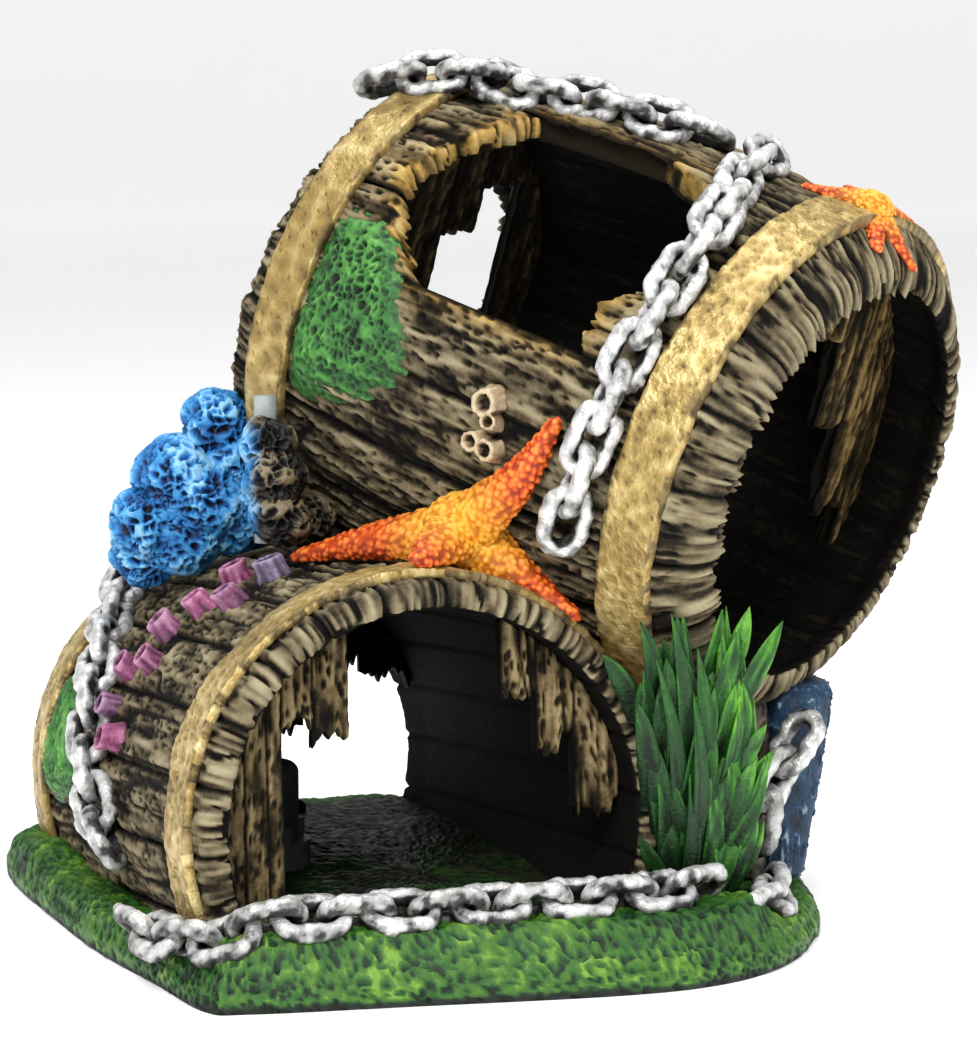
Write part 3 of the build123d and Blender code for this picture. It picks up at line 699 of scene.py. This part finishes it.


# The last numbers set painted light and ochre: the lit mouth boards light, the boards deep in the
# low barrel dark as painted shade.
boards("low_mouth_boards", "lower_front_head", low, 9.0, 4.0, [
    (-1.0, -0.83, None, None), (-0.82, -0.65, None, None), (-0.64, -0.50, 0.46, None),
    (-0.49, -0.33, 0.38, None), (0.42, 0.58, 0.52, None), (0.59, 0.76, 0.28, None),
    (0.77, 1.0, 0.02, None)], FLOOR - 1, 300, 0.92, 0.25)
boards("low_back_boards", "lower_rear_head", low, LOW_LENGTH - 12, 4.0, [
    (-1.0, -0.68, None, None), (-0.67, -0.34, None, None), (-0.33, 0.0, None, None),
    (0.01, 0.30, None, -0.20), (0.01, 0.30, 0.12, None), (0.31, 0.62, 0.44, None),
    (0.63, 0.92, 0.40, None)], FLOOR - 1, 330, 0.22)
boards("high_mouth_boards", "upper_front_head", upp, 15.0, 4.0, [
    (0.16, 0.40, 0.50, None), (0.41, 0.62, 0.10, None), (0.63, 0.84, -0.30, None),
    (0.85, 1.0, None, None)], -99, 360, 0.75, 0.6)
boards("high_back_boards", "upper_rear_head", upp, UPP_LENGTH - 12, 4.0, [
    (-1.0, -0.70, None, None), (-0.69, -0.36, None, None), (-0.35, 0.08, None, None),
    (0.09, 0.34, None, -0.05), (0.09, 0.34, 0.36, None), (0.35, 0.66, None, -0.16),
    (0.35, 0.66, 0.58, None), (0.67, 1.0, None, None)], -99, 390, 0.55, 0.25)


# ---- moss base ----
def closed_curve(corners, count):
    """Smooth closed curve through corners: cubic between each pair, tangents from neighbours."""
    p = np.array(corners, float)
    t = np.linspace(0, len(p), count, endpoint=False)
    i = t.astype(int)
    f = (t - i)[:, None]
    p0, p1, p2, p3 = (p[(i + k) % len(p)] for k in (-1, 0, 1, 2))
    return 0.5 * (2 * p1 + (p2 - p0) * f + (2 * p0 - 5 * p1 + 4 * p2 - p3) * f ** 2
                  + (3 * p1 - p0 - 3 * p2 + p3) * f ** 3)


half_w, back_y = 1.03 * LOW_BELLY, LOW_LENGTH + 5
EDGE = [(-half_w + 2, -7), (-0.8 * half_w, -11), (-10, -15), (24, -20), (42, -19), (56, -12),
        (67, 0), (76, 17), (81, 46), (77, 84), (60, 108), (36, back_y - 4), (0, back_y),
        (-30, back_y - 1), (-half_w - 1, back_y - 12), (-half_w - 5, 96),
        (-half_w - 5, 70), (-half_w - 4, 40), (-half_w - 0.5, 12)]


def moss_height(p, seed, size=1.6):
    """Moss from 0 to 1: raised net of walls between round pits, broken up by noise."""
    warped = p + 0.7 * stack(noise(p / 2.2, seed), noise(p / 2.2, seed + 1),
                             noise(p / 2.2, seed + 2))
    near, next_ = cells(warped / size, seed)
    wall = 1 - ease(next_ - near, 0.06, 0.50)
    small, _ = cells(warped / (0.5 * size), seed + 5)
    return np.clip(0.22 + 0.55 * wall + 0.22 * noise(p / 1.3, seed + 3)
                   + 0.22 * noise(p / 7, seed + 4) + 0.12 * (small - 0.5), 0, 1)


def moss_slab():
    """Rings of the base's outline: under, up the side with a bulge, and over the top."""
    outline = closed_curve(EDGE, 720)
    middle = np.array([14.0, 48.0])
    inward = np.concatenate([[0.004, 0.5, 0.985], np.full(10, 1.0),
                             1 - np.linspace(0, 1, 84) ** 1.35 * 0.996])
    side = np.linspace(0, 1, 10)
    share = np.concatenate([[0, 0, 0], side, np.ones(84)])
    xy = middle + (outline[None] - middle) * inward[:, None, None]
    reach = np.linalg.norm(outline - middle, axis=1)[None]
    from_edge = (1 - inward[:, None]) * reach
    x, y = xy[..., 0], xy[..., 1]
    round_ = np.sqrt(np.clip(1 - (1 - np.clip(from_edge / 4.0, 0, 1)) ** 2, 0, 1))
    bank = BANK_H * (1 - ease(y, -5, -1)) * ease(x, -half_w - 1, -half_w + 9) * (
        1 - ease(x, 52, 60)) * ease(from_edge, 0.3, 4.5)
    mound = 2.2 * np.exp(-((x + half_w) ** 2 + (y - 88) ** 2) / 60)
    top = (FLOOR - 3.0 + 3.0 * round_) + bank + mound + 0.5 * noise(stack(x / 9, y / 9, 0.5), 41)
    z = np.where(share[:, None] < 1, (FLOOR - BASE_T) + share[:, None] * (BASE_T - 3.0), top)
    points = stack(x, y, z)
    relief = moss_height(points, 42)
    out = stack(outline[:, 0] - middle[0], outline[:, 1] - middle[1], 0 * outline[:, 0])
    out = unit(out)[None]
    lift = 1.5 * (relief - 0.55)
    on_side = ((share > 0) & (share < 1))[:, None]
    bulge = np.where(on_side, 0.7 * np.sin(share[:, None] * math.pi) + lift * 0.8, 0)
    points = points + out * np.minimum(bulge, 0.8)[..., None]
    upper = share[:, None] >= 1
    inside = (np.abs(x) < 37) & (y > 1) & (y < 118)
    points[..., 2] += np.where(upper, lift * np.where(inside, 0.5, 1.0), 0)
    points[..., 2] = np.where(share[:, None] == 0, FLOOR - BASE_T, points[..., 2])
    black = 1 - ease(share[:, None] + 0.12 * noise(points / 3, 43), 0.1, 0.42)
    relief = relief * (1 - 0.95 * black * (share[:, None] < 1))
    # The floor inside the low barrel takes the dark accent and less relief: painted shade.
    tint = np.where(inside & upper, 0.85 - 0.5 * ease(noise(points / 6, 44), -0.1, 0.5), 0.0)
    relief = np.where(inside & upper, relief * 0.75, relief)
    skin = Skin()
    skin.tube(points, relief, tint)
    skin.make("moss_slab", moss, ("moss_base", "moss_bank"), "moss_green")


moss_slab()


def patch(name, node, barrel, outline, thick, material):
    """A mossy skin: a grid over the outline's span, its rim drawn down into the barrel."""
    ring = closed_curve(outline, 240)
    middle = ring.mean(0)
    share = 1 - np.linspace(0, 1, 60) ** 1.2 * 0.99
    grid = middle + (ring[None] - middle) * share[:, None, None]
    back, angle = grid[..., 0], grid[..., 1]
    base = barrel.point(back, angle)
    relief = moss_height(base, 51, 1.5)
    grain = weather(np.radians(angle) * barrel.radii[2], back, 52)
    centre = 1 - share[:, None]
    mixed = np.where(centre > 0.35, relief, 0.5 * relief + 0.5 * grain)
    lift = -0.5 + 1.1 * ease(centre, 0, 0.3) + thick * (mixed - 0.3) * ease(centre, 0, 0.25)
    top = barrel.point(back, angle, lift)
    under = barrel.point(back[:1], angle[:1], np.full(back[:1].shape, -1.2))
    inner = barrel.point(0.02 * back[:1] + 0.98 * middle[0], 0.02 * angle[:1]
                         + 0.98 * middle[1], np.full(back[:1].shape, -1.2))
    points = np.concatenate([inner, under, top])
    relief = np.concatenate([mixed[:1], mixed[:1], mixed])
    skin = Skin()
    skin.tube(points, relief, np.zeros(relief.shape))
    skin.make(name, material, (node,), "moss_green")


patch("high_moss_tuft", "upper_moss_patch", upp,
      [(87, 192), (88, 158), (87, 150), (76, 151), (69, 160), (61, 178), (72, 190)], 1.6,
      mossy_wood)
patch("low_moss_tuft", "lower_moss_patch", low,
      [(100, 152), (100, 182), (76, 180), (80, 164), (88, 152)], 1.6, mossy_wood)


# ---- rock and sponge ----
def lofted(name, node, material, slot, corners, z0, z1, lean, height, waist, depth, seed):
    """A rough block: rings of a rounded outline from z0 to z1, drawn in at both ends."""
    outline = closed_curve(corners, 180)
    middle = outline.mean(0)
    t = np.concatenate([[0, 0], np.linspace(0, 1, 90), [1, 1]])
    share = np.concatenate([[0.01, 0.6], np.ones(90), [0.6, 0.01]])
    ends = np.minimum(t, 1 - t)
    share = share * (1 - waist * (1 - ease(ends, 0, 0.06)))
    xy = middle + (outline[None] - middle) * share[:, None, None]
    z = z0 + (z1 - z0) * t[:, None] + 0 * xy[..., 0]
    points = stack(xy[..., 0] + lean * (z - z0), xy[..., 1], z)
    relief = height(points, seed)
    out = unit(np.concatenate([outline - middle, np.zeros((180, 1))], axis=1))[None]
    points = points + out * (depth * (relief - 0.7))[..., None]
    skin = Skin()
    skin.tube(points, relief, np.zeros(relief.shape))
    skin.make(name, material, (node,), slot)


def scratched(p, seed):
    """Rough height from 0 to 1 with short pale scratches."""
    a = fbm(p / 3.0, 3, seed)
    scratch = 1 - ease(np.abs(noise(p / stack(0.8, 0.8, 2.4), seed + 4)), 0.02, 0.16)
    return np.clip(0.45 + 0.35 * a + 0.45 * scratch * (noise(p / 2, seed + 5) > 0), 0, 1)


def craggy(p, seed):
    """Stony height from 0 to 1: folded noise with pits."""
    a = 1 - np.abs(fbm(p / 6.0, 4, seed))
    pit, _ = cells(p / 2.4, seed + 2)
    return np.clip(a * (0.3 + 0.7 * ease(pit, 0.1, 0.45)) - 0.1, 0, 1)


rock_top = 1000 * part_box("support_rock")[1].z - MOUTH[2]
lofted("rock_mass", "support_rock", rock_paint, "dark_rock",
       [(47, 26), (58, 21.5), (68, 21.5), (71, 28), (71, 46), (69, 70), (61, 85), (51, 83),
        (45, 58)], FLOOR - 1, rock_top - 22, 0.0, craggy, 0.05, 2.0, 61)
lofted("navy_sponge_mass", "blue_sponge", sponge_paint, "navy_sponge",
       [(67, 25), (76, 22.3), (79.5, 32), (78.5, 49), (69, 53)], FLOOR - 1, FLOOR + 34, 0.16,
       scratched, 0.12, 1.2, 66)


# ---- coral, cups ----
def ball(skin, centre, radius, relief_of, depth, tint_of, columns=72, rows=44, squash=1.0):
    """A sphere by latitude and longitude, pushed out by its relief."""
    a = np.linspace(0, 2 * math.pi, columns, endpoint=False)[None]
    b = np.linspace(0.02, math.pi - 0.02, rows)[:, None]
    n = stack(np.sin(b) * np.cos(a), np.sin(b) * np.sin(a), np.cos(b) + 0 * a)
    points = np.asarray(centre) + n * radius * np.array([1, 1, squash])
    relief = relief_of(points)
    points = points + n * (depth * (relief - 0.6))[..., None]
    skin.tube(points, relief, tint_of(points))


def net(p):
    """Coral from 0 to 1: a raised net of rounded walls round deep pits."""
    warped = p + 1.1 * stack(noise(p / 1.7, 71), noise(p / 1.7, 72), noise(p / 1.7, 73))
    near, next_ = cells(warped / 1.8, 74)
    return np.clip(0.12 + 0.72 * (1 - ease(next_ - near, 0.06, 0.46)) + 0.38 * noise(p / 3, 75),
                   0, 1)


coral = Skin()
tube_low, tube_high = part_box("clear_air_tube")
tube_x = 500 * (tube_low.x + tube_high.x) - MOUTH[0]
tube_y = 500 * (tube_low.y + tube_high.y) - MOUTH[1]
tube_top = 1000 * tube_high.z - MOUTH[2]
for x, y, z, r in [(tube_x - 1, tube_y - 5, tube_top - 8, 4.2),
                   (tube_x, tube_y - 5.5, tube_top - 14, 5.2),
                   (tube_x + 1, tube_y - 5, tube_top - 21, 5.0),
                   (-22, 80, 42, 9.0), (-11, 80, 46, 9.5), (-2, 80, 50, 8.5), (-12, 78, 56, 8),
                   (-23, 77, 51, 7.2), (-16, 75, 61, 5.7), (-28, 78, 43, 6.2),
                   (-27, 82, 37, 6.2), (-18, 74, 47, 6.5), (-8, 70, 57, 4.6),
                   (-6, 70, 48, 6.6), (-3, 62, 44, 4.5)]:
    # The tint turns the coral's right side, under the high barrel, near black: painted shade.
    ball(coral, (x, y, z), r, net, 2.6,
         lambda p: ease(p[..., 0] - 0.37 * p[..., 1] + 2.0 * noise(p / 3, 76), -37, -33.5),
         96, 58)
coral.make("net_coral", coral_paint, ("blue_coral",), "blue_coral")


def cup(skin, barrel, back, angle, radius, tall, tint, seed):
    """A ribbed cup: a profile up the outside, over the lip and down into the hole."""
    foot = barrel.point(np.array(back), np.array(angle), -1.0)
    axis = barrel.around(np.array(angle, float))
    side = unit(np.cross(axis, [0.3, 0.2, 1.0]))
    other = np.cross(axis, side)
    t = np.array([0.0, 0.0, 0.15, 0.3, 0.45, 0.6, 0.75, 0.88, 0.97, 1.0, 0.97, 0.85, 0.6,
                  0.35, 0.33])
    r = np.array([0.01, 1.15, 1.12, 1.04, 0.98, 0.95, 0.95, 0.97, 0.93, 0.80, 0.66, 0.58,
                  0.54, 0.5, 0.01])
    dark = np.array([0.3] * 2 + [0.45, 0.55, 0.62, 0.68, 0.75, 0.85, 0.95, 0.95, 0.7, 0.3,
                    0.1, 0.02, 0.02])
    a = np.linspace(0, 2 * math.pi, 40, endpoint=False)
    ribs = noise(stack(3.2 * np.cos(a)[None], 3.2 * np.sin(a)[None], t[:, None] + seed), seed)
    rr = radius * r[:, None] * (1 + 0.12 * ribs)
    bend = 0.8 * t[:, None] ** 2
    points = (foot + axis * ((tall + 1.0) * t[:, None, None])
              + side * (rr * np.cos(a) + bend * math.sin(seed))[..., None]
              + other * (rr * np.sin(a) + bend * math.cos(seed))[..., None])
    relief = np.clip(dark[:, None] + 0.35 * ribs, 0, 1)
    skin.tube(points, relief, np.full(relief.shape, tint))


cups = Skin()
for n, (back, angle, radius, tint) in enumerate([
        (52.4, 114.9, 2.6, 0), (42.2, 109.5, 2.9, 1), (38.1, 122.4, 2.4, 0.3),
        (47.8, 126.5, 2.4, 0), (53.9, 135.1, 2.5, 0.2), (58.2, 147.2, 2.3, 0.1),
        (49.0, 143.9, 2.3, 0.2), (58.5, 156.3, 2.1, 0.5), (51.2, 162.8, 2.5, 0)]):
    cup(cups, low, back, angle, radius, 3.4, tint, 80 + n)
cups.make("tubeworm_tubes", pink, ("tubeworm_cups",), "pink_tubeworm")
cups = Skin()
for n, (back, angle, radius) in enumerate([(42.3, 175.5, 2.4), (42.6, 184.2, 1.8),
                                           (39.7, 185.4, 2.0), (41.0, 180.0, 1.6)]):
    cup(cups, upp, back, angle, radius, 2.6, 0, 95 + n)
cups.make("barnacles", tan, ("barnacle_cups",), "tan_barnacle")


# ---- starfish ----
def beads(p, size, seed):
    """Rows of round beads from 0 to 1: domes over jittered points."""
    near, _ = cells(p / size, seed)
    return np.clip(1.1 - 2.6 * near ** 2, 0, 1)


def along(path, count):
    """Points, directions and shares at even steps on a smooth curve through path."""
    p = np.array(path, float)
    p = np.concatenate([[2 * p[0] - p[1]], p, [2 * p[-1] - p[-2]]])
    t = np.linspace(0, len(p) - 3, count)
    i = np.minimum(t.astype(int), len(p) - 4)
    f = (t - i)[:, None]
    p0, p1, p2, p3 = (p[i + k] for k in range(4))
    at = 0.5 * (2 * p1 + (p2 - p0) * f + (2 * p0 - 5 * p1 + 4 * p2 - p3) * f ** 2
                + (3 * p1 - p0 - 3 * p2 + p3) * f ** 3)
    return at, unit(np.gradient(at, axis=0)), t / t[-1]


def starfish(name, node, centre, outward, arms, r_centre, r_tip, bead, rise):
    """Arms are tapering tubes from the centre with flat undersides, beaded all over."""
    skin = Skin()
    centre, outward = np.asarray(centre, float), unit(outward)

    def tint_of(points):
        far = np.linalg.norm(points - centre, axis=-1)
        return np.clip(1.45 - far / (1.5 * r_centre), 0, 1)

    for n, arm in enumerate(arms):
        at, forward, t = along([centre, *arm], 120)
        width = 0.86 * r_centre * (1 - t) ** 1.25 + r_tip * (1 - (1 - t) ** 1.25)
        width = width * np.sqrt(np.clip((1 - t) / 0.05, 0.0004, 1))
        side = unit(np.cross(forward, outward))
        up = unit(np.cross(side, forward))
        a = np.linspace(0, 2 * math.pi, 84, endpoint=False)
        ring = (side[:, None] * np.cos(a)[None, :, None]
                + up[:, None] * (rise * np.where(np.sin(a) > 0, np.sin(a), 0.6 * np.sin(a)))
                [None, :, None])
        points = at[:, None] + ring * width[:, None, None]
        row = beads(points, bead, 100 + n)
        spine = np.exp(-((a - math.pi / 2) / 0.35) ** 2)[None]
        relief = np.clip(0.12 + 0.75 * row + 0.2 * spine, 0, 1)
        points = points + ring * ((1.0 * row + 0.3 * spine) * np.minimum(
            1, width[:, None] / 2.5) * bead * 0.45)[..., None]
        skin.tube(points, relief, tint_of(points))
    dome_axis = outward
    side = unit(np.cross(dome_axis, [0.1, 0.2, 1.0]))
    other = np.cross(dome_axis, side)
    a = np.linspace(0, 2 * math.pi, 110, endpoint=False)[None]
    b = np.linspace(0.02, math.pi - 0.02, 70)[:, None]
    n = (side * (np.sin(b) * np.cos(a))[..., None] + other * (np.sin(b) * np.sin(a))[..., None]
         + dome_axis * (rise * 0.98 * np.cos(b) + 0 * a)[..., None])
    points = centre + n * r_centre
    row = beads(points, bead, 110)
    points = points + n * (0.45 * bead * row)[..., None]
    skin.tube(points, np.clip(0.15 + 0.75 * row, 0, 1), tint_of(points))
    skin.make(name, orange, (node,), "starfish_orange")


def tip(barrel, back, angle, lift):
    return barrel.point(np.array(float(back)), np.array(float(angle)), lift)


big = tip(low, 17, 76, 7.2)
starfish("large_starfish_beaded", "large_starfish", big, [-0.25, -0.80, 0.55], [
    [tip(low, 31, 90, 3.4), tip(low, 47, 103, 1.2)],
    [tip(low, 9, 86, 3.6), tip(low, 5.5, 92, 2.2)],
    [tip(low, 11, 64, 3.2), tip(low, 5, 49, 1.8)],
    [tip(upp, 32, 187, 2.4), tip(upp, 28.5, 173, 1.4)],
    [tip(low, 36, 68, 3.0)]], 7.0, 1.1, 1.05, 0.72)
little = tip(upp, 10, 88, 1.8)
starfish("small_starfish_beaded", "small_starfish", little,
         upp.around(np.array(88.0)), [
             [tip(upp, 20, 97, 1.5)], [tip(upp, 2, 99, 1.3)], [tip(upp, -1.2, 86, 0.9)],
             [tip(upp, 8, 72, 1.3)], [tip(upp, 20, 78, 1.5)]], 3.7, 0.9, 0.85, 0.7)


# ---- grass ----
def blade(skin, foot, tall, lean, width, seed):
    """A leaf: lens-shaped rings on an arc that bows forward and curls to a point.

    foot is (x, y, height above the base).
    """
    t = np.linspace(0, 1, 26)
    bow = 0.32 * tall * np.sin(1.9 * t)
    curl = 2.0 * math.sin(seed * 2.1) * t ** 2
    at = stack(foot[0] + lean * t ** 1.5 + curl, foot[1] - bow,
               FLOOR - 1.5 + foot[2] + (tall + 1.5) * t)
    forward = unit(np.gradient(at, axis=0))
    turn = 0.55 * math.sin(seed * 1.7)
    flat = np.array([math.cos(turn), math.sin(turn), 0.0])
    normal = unit(np.cross(flat, forward))
    flat = unit(np.cross(forward, normal))
    half = 0.36 * width * (0.5 + 1.5 * t) * np.clip(1 - t ** 2.2, 0.006, 1)
    a = np.linspace(0, 2 * math.pi, 16, endpoint=False)
    crease = 0.75 * np.abs(np.cos(a))
    ring = (flat[:, None] * (half[:, None] * np.cos(a))[..., None]
            + normal[:, None] * ((0.28 + 0.24 * half[:, None]) * np.sin(a) * 0.8
                                 + half[:, None] * 0.35 * crease)[..., None])
    points = at[:, None] + ring
    streak = noise(stack(3 * np.cos(a)[None] * half[:, None], t[:, None] * 5, seed), seed)
    edge = np.abs(np.cos(a))[None] ** 4
    # Blades further right are lighter: painted light.
    painted_light = 0.62 + 0.38 * ease(foot[0] + lean, 40, 52)
    relief = np.clip((0.04 + 0.66 * t[:, None] + 0.30 * streak + 0.30 * edge * t[:, None])
                     * painted_light, 0, 1)
    skin.tube(points, relief, np.zeros(relief.shape))


GRASS = [(44, 4, 30, -3, 6), (49, 7, 34, -2, 6), (54, 7, 28, 2, 6), (46, 6, 42, -5, 6),
         (52, 9, 40, 2, 7), (54, 12, 42, 2, 6), (48, 9, 50, -6, 7), (53, 14, 46, 1, 7),
         (45, 11, 56, -6, 7), (50, 12, 54, -3, 7), (54, 17, 50, 3, 6), (46, 15, 58, -4, 6),
         (51, 17, 56, -1, 7), (54, 10, 36, 3, 6), (44, 8, 48, -8, 6), (49, 15, 38, 1, 7)]
tuft = Skin()
for n, (x, y, tall, lean, width) in enumerate(GRASS):
    blade(tuft, (x, y, 0), 0.94 * tall, lean, 0.8 * width, n + 1)
    blade(tuft, (x + 2.6 * math.sin(5 * n), y + 1.5, 0), 0.7 * tall, lean + 4 * math.cos(3 * n),
          0.7 * width, n + 40)
for n in range(64):
    level, along_row = n / 63, (0.618 * n) % 1.0
    x = 41 + 14 * along_row - 8 * level * (1 - 0.5 * along_row)
    blade(tuft, (x, 3.5 - 3.5 * math.sin(2.6 * level), 1 + 36 * level),
          14 + 4 * math.sin(3 * n), -4 + 9 * along_row + 2 * math.sin(7 * n), 5.4, n + 80)
tuft.make("grass_tuft", grass, ("grass_clump",), "grass_green")


# ---- chains ----
def link(skin, centre, forward, outward, roll):
    """A round wire carried round a stadium, dented like cast and painted metal."""
    side = unit(np.cross(outward, forward))
    up = np.cross(forward, side)
    flat = math.cos(roll) * side + math.sin(roll) * up
    tall = np.cross(forward, flat)
    half, bend = (LINK_IN - LINK_IN_W) / 2, (LINK_IN_W + WIRE) / 2
    straight, turn = 2 * half, math.pi * bend
    s = np.linspace(0, 2 * (straight + turn), 52, endpoint=False)
    x, y, nx, ny = np.zeros((4, len(s)))
    for n, value in enumerate((s, s - straight - turn)):
        flip = 1 if n == 0 else -1
        run = (value >= 0) & (value < straight)
        x[run], y[run], ny[run] = flip * (-half + value[run]), flip * bend, flip
        arc = (value >= straight) & (value < straight + turn)
        angle = math.pi / 2 - (value[arc] - straight) / bend
        x[arc] = flip * (half + bend * np.cos(angle))
        y[arc] = flip * bend * np.sin(angle)
        nx[arc], ny[arc] = flip * np.cos(angle), flip * np.sin(angle)
    a = np.linspace(0, 2 * math.pi, 16, endpoint=False)
    spine = centre + forward * x[:, None] + flat * y[:, None]
    out = forward * nx[:, None] + flat * ny[:, None]
    ring = out[:, None] * np.cos(a)[None, :, None] + tall * np.sin(a)[None, :, None]
    points = spine[:, None] + ring * (WIRE / 2)
    rough = fbm(points / 1.5, 2, 120)
    high = ring @ outward
    hollow = ease(-np.cos(a)[None], 0.35, 0.8)
    relief = np.clip(0.50 + 0.30 * high + 0.55 * rough - 0.45 * hollow, 0, 1)
    points = points + ring * (0.45 * rough)[..., None]
    skin.ring(points, relief, np.zeros(relief.shape))


def over(barrel):
    def place(stop):
        back, angle = stop
        on_hoop = any(abs(back - c) < barrel.hoop_w / 2 + LINK_IN for c in barrel.hoops)
        lift = CHAIN_LIFT + (barrel.hoop_t if on_hoop else 0)
        outward = barrel.normal(np.array(back), np.array(angle))
        return barrel.point(np.array(back), np.array(angle)) + outward * lift, outward
    return place


def on_ground(stop):
    return np.array([stop[0], stop[1], FLOOR + stop[2] + CHAIN_LIFT]), np.array([0, 0, 1.0])


def up_a_wall(stop):
    return np.array([stop[0], stop[1], FLOOR + stop[2]]), unit([-0.3, -1, 0])


def chain(skin, stops, place, seed):
    """Links at an even pitch along the stops, each turned a quarter from the last."""
    dense = [place([p + (q - p) * i / 40 for p, q in zip(a, b)])
             for a, b in zip(stops, stops[1:]) for i in range(40)] + [place(stops[-1])]
    spots = np.array([d[0] for d in dense])
    outs = np.array([d[1] for d in dense])
    walked = np.concatenate([[0], np.cumsum(np.linalg.norm(np.diff(spots, axis=0), axis=1))])
    for i in range(int(walked[-1] / PITCH)):
        middle = (i + 0.5) * PITCH
        k, k0, k1 = (int(np.abs(walked - d).argmin())
                     for d in (middle, middle - PITCH / 2, middle + PITCH / 2))
        wobble = 0.16 * math.sin(12.7 * i + seed)
        link(skin, spots[k], unit(spots[k1] - spots[k0]), outs[k],
             (0.25 if i % 2 else -0.25) * math.pi + wobble)


CHAINS = [
    ("top_chain", [([(99, 119), (93, 111), (82, 104), (66, 99), (50, 96), (37, 93)],
                    over(upp))]),
    ("diagonal_chain", [([(31, 88), (28, 104), (22, 122), (20, 140), (20, 158), (20.5, 174),
                          (21.5, 190), (22.5, 202)], over(upp))]),
    ("left_chain", [([(97, 124), (90, 132), (75, 145), (65, 157), (58, 170), (49, 183),
                      (41, 192)], over(low))]),
    ("front_chain", [([(-half_w - 3, 19, 0), (-half_w - 1.5, 6, 0), (-half_w + 6, -5, 1.5),
                       (-0.75 * half_w, -7, BANK_H), (-10, -8.5, BANK_H), (14, -10, BANK_H),
                       (34, -10, BANK_H), (48, -5, BANK_H)], on_ground)]),
    ("right_chain", [([(53, -7, 0), (60, -2, 0), (63, 6, 0), (65, 13, 0)], on_ground),
                     ([(66, 18.5, 8), (67, 18.5, 15), (71, 18.5, 22), (76.5, 18.5, 30)],
                      up_a_wall)])]
for n, (node, runs) in enumerate(CHAINS):
    skin = Skin()
    for stops, place in runs:
        chain(skin, stops, place, n)
    skin.make(f"{node}_links", silver, (node,), "silver_paint")

# ---- fittings keep their CAD shape ----
for node, material in (("air_inlet", fitting), ("air_pipe", fitting), ("stone_seat", fitting),
                       ("air_stone", grit), ("clear_air_tube", clear)):
    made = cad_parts[node].data
    made.materials.clear()
    made.materials.append(material)


# ---- floor, light and camera ----
def stage_floor():
    """A pale sheet that curves up behind: flat, then a quarter circle, then upright."""
    t = np.linspace(0, 1, 60)
    y = np.where(t < 0.6, -3 + 7 * t / 0.6, 4 + 1.2 * np.sin((t - 0.6) / 0.4 * math.pi / 2))
    z = np.where(t < 0.6, 0, 1.2 * (1 - np.cos((t - 0.6) / 0.4 * math.pi / 2)))
    x = np.linspace(-5, 5, 4)
    points = stack(x[None], y[:, None], z[:, None])
    mesh = bpy.data.meshes.new("stage_floor")
    mesh.from_pydata(points.reshape(-1, 3).tolist(), [], quads(60, 4)[:, ::-1].tolist())
    mesh.polygons.foreach_set("use_smooth", np.ones(len(mesh.polygons), bool))
    p = Paint("stage_white")
    tone = p.speckle(6.0)
    mesh.materials.append(p.finish(Base_Color=p.mix(tone, (0.90, 0.90, 0.90), (0.93, 0.93, 0.93)),
                                   Roughness=0.9, Emission_Color=(1, 1, 1), Emission_Strength=0.42))
    floor = bpy.data.objects.new("stage_floor", mesh)
    bpy.context.scene.collection.objects.link(floor)


def soft_light(name, place, size, power):
    data = bpy.data.lights.new(name, "AREA")
    data.shape, data.size, data.energy = "SQUARE", size, power
    lamp = bpy.data.objects.new(name, data)
    lamp.location = place
    lamp.rotation_mode = "QUATERNION"
    lamp.rotation_quaternion = (Vector((0, 0, 0.07)) - Vector(place)).to_track_quat("-Z", "Y")
    bpy.context.scene.collection.objects.link(lamp)


stage_floor()
soft_light("key_light", (-0.50, -0.85, 0.75), 0.45, 10)
soft_light("side_light", (0.8, -0.5, 0.5), 0.6, 3.0)
soft_light("top_light", (0.0, 0.1, 1.1), 0.7, 6)
bpy.context.scene.view_settings.view_transform = "Standard"
bpy.context.scene.view_settings.look = "None"
world = bpy.data.worlds.new("studio")
bpy.context.scene.world = world
world.use_nodes = True
world.node_tree.nodes["Background"].inputs["Color"].default_value = (1, 1, 1, 1)
world.node_tree.nodes["Background"].inputs["Strength"].default_value = 0.42

yaw, pitch = math.radians(20.28), math.radians(6.55)
look = Vector((math.sin(yaw) * math.cos(pitch), math.cos(yaw) * math.cos(pitch),
               -math.sin(pitch)))
lens = bpy.data.cameras.new("camera")
lens.sensor_fit, lens.sensor_width, lens.lens = "HORIZONTAL", 36.0, 132.65
lens.clip_start, lens.clip_end = 0.02, 50
camera = bpy.data.objects.new("camera", lens)
camera.location = (Vector((-193.73, -547.87, 116.40)) + Vector(MOUTH)) * 0.001
camera.rotation_mode = "QUATERNION"
camera.rotation_quaternion = look.to_track_quat("-Z", "Y")
bpy.context.scene.collection.objects.link(camera)
bpy.context.scene.camera = camera
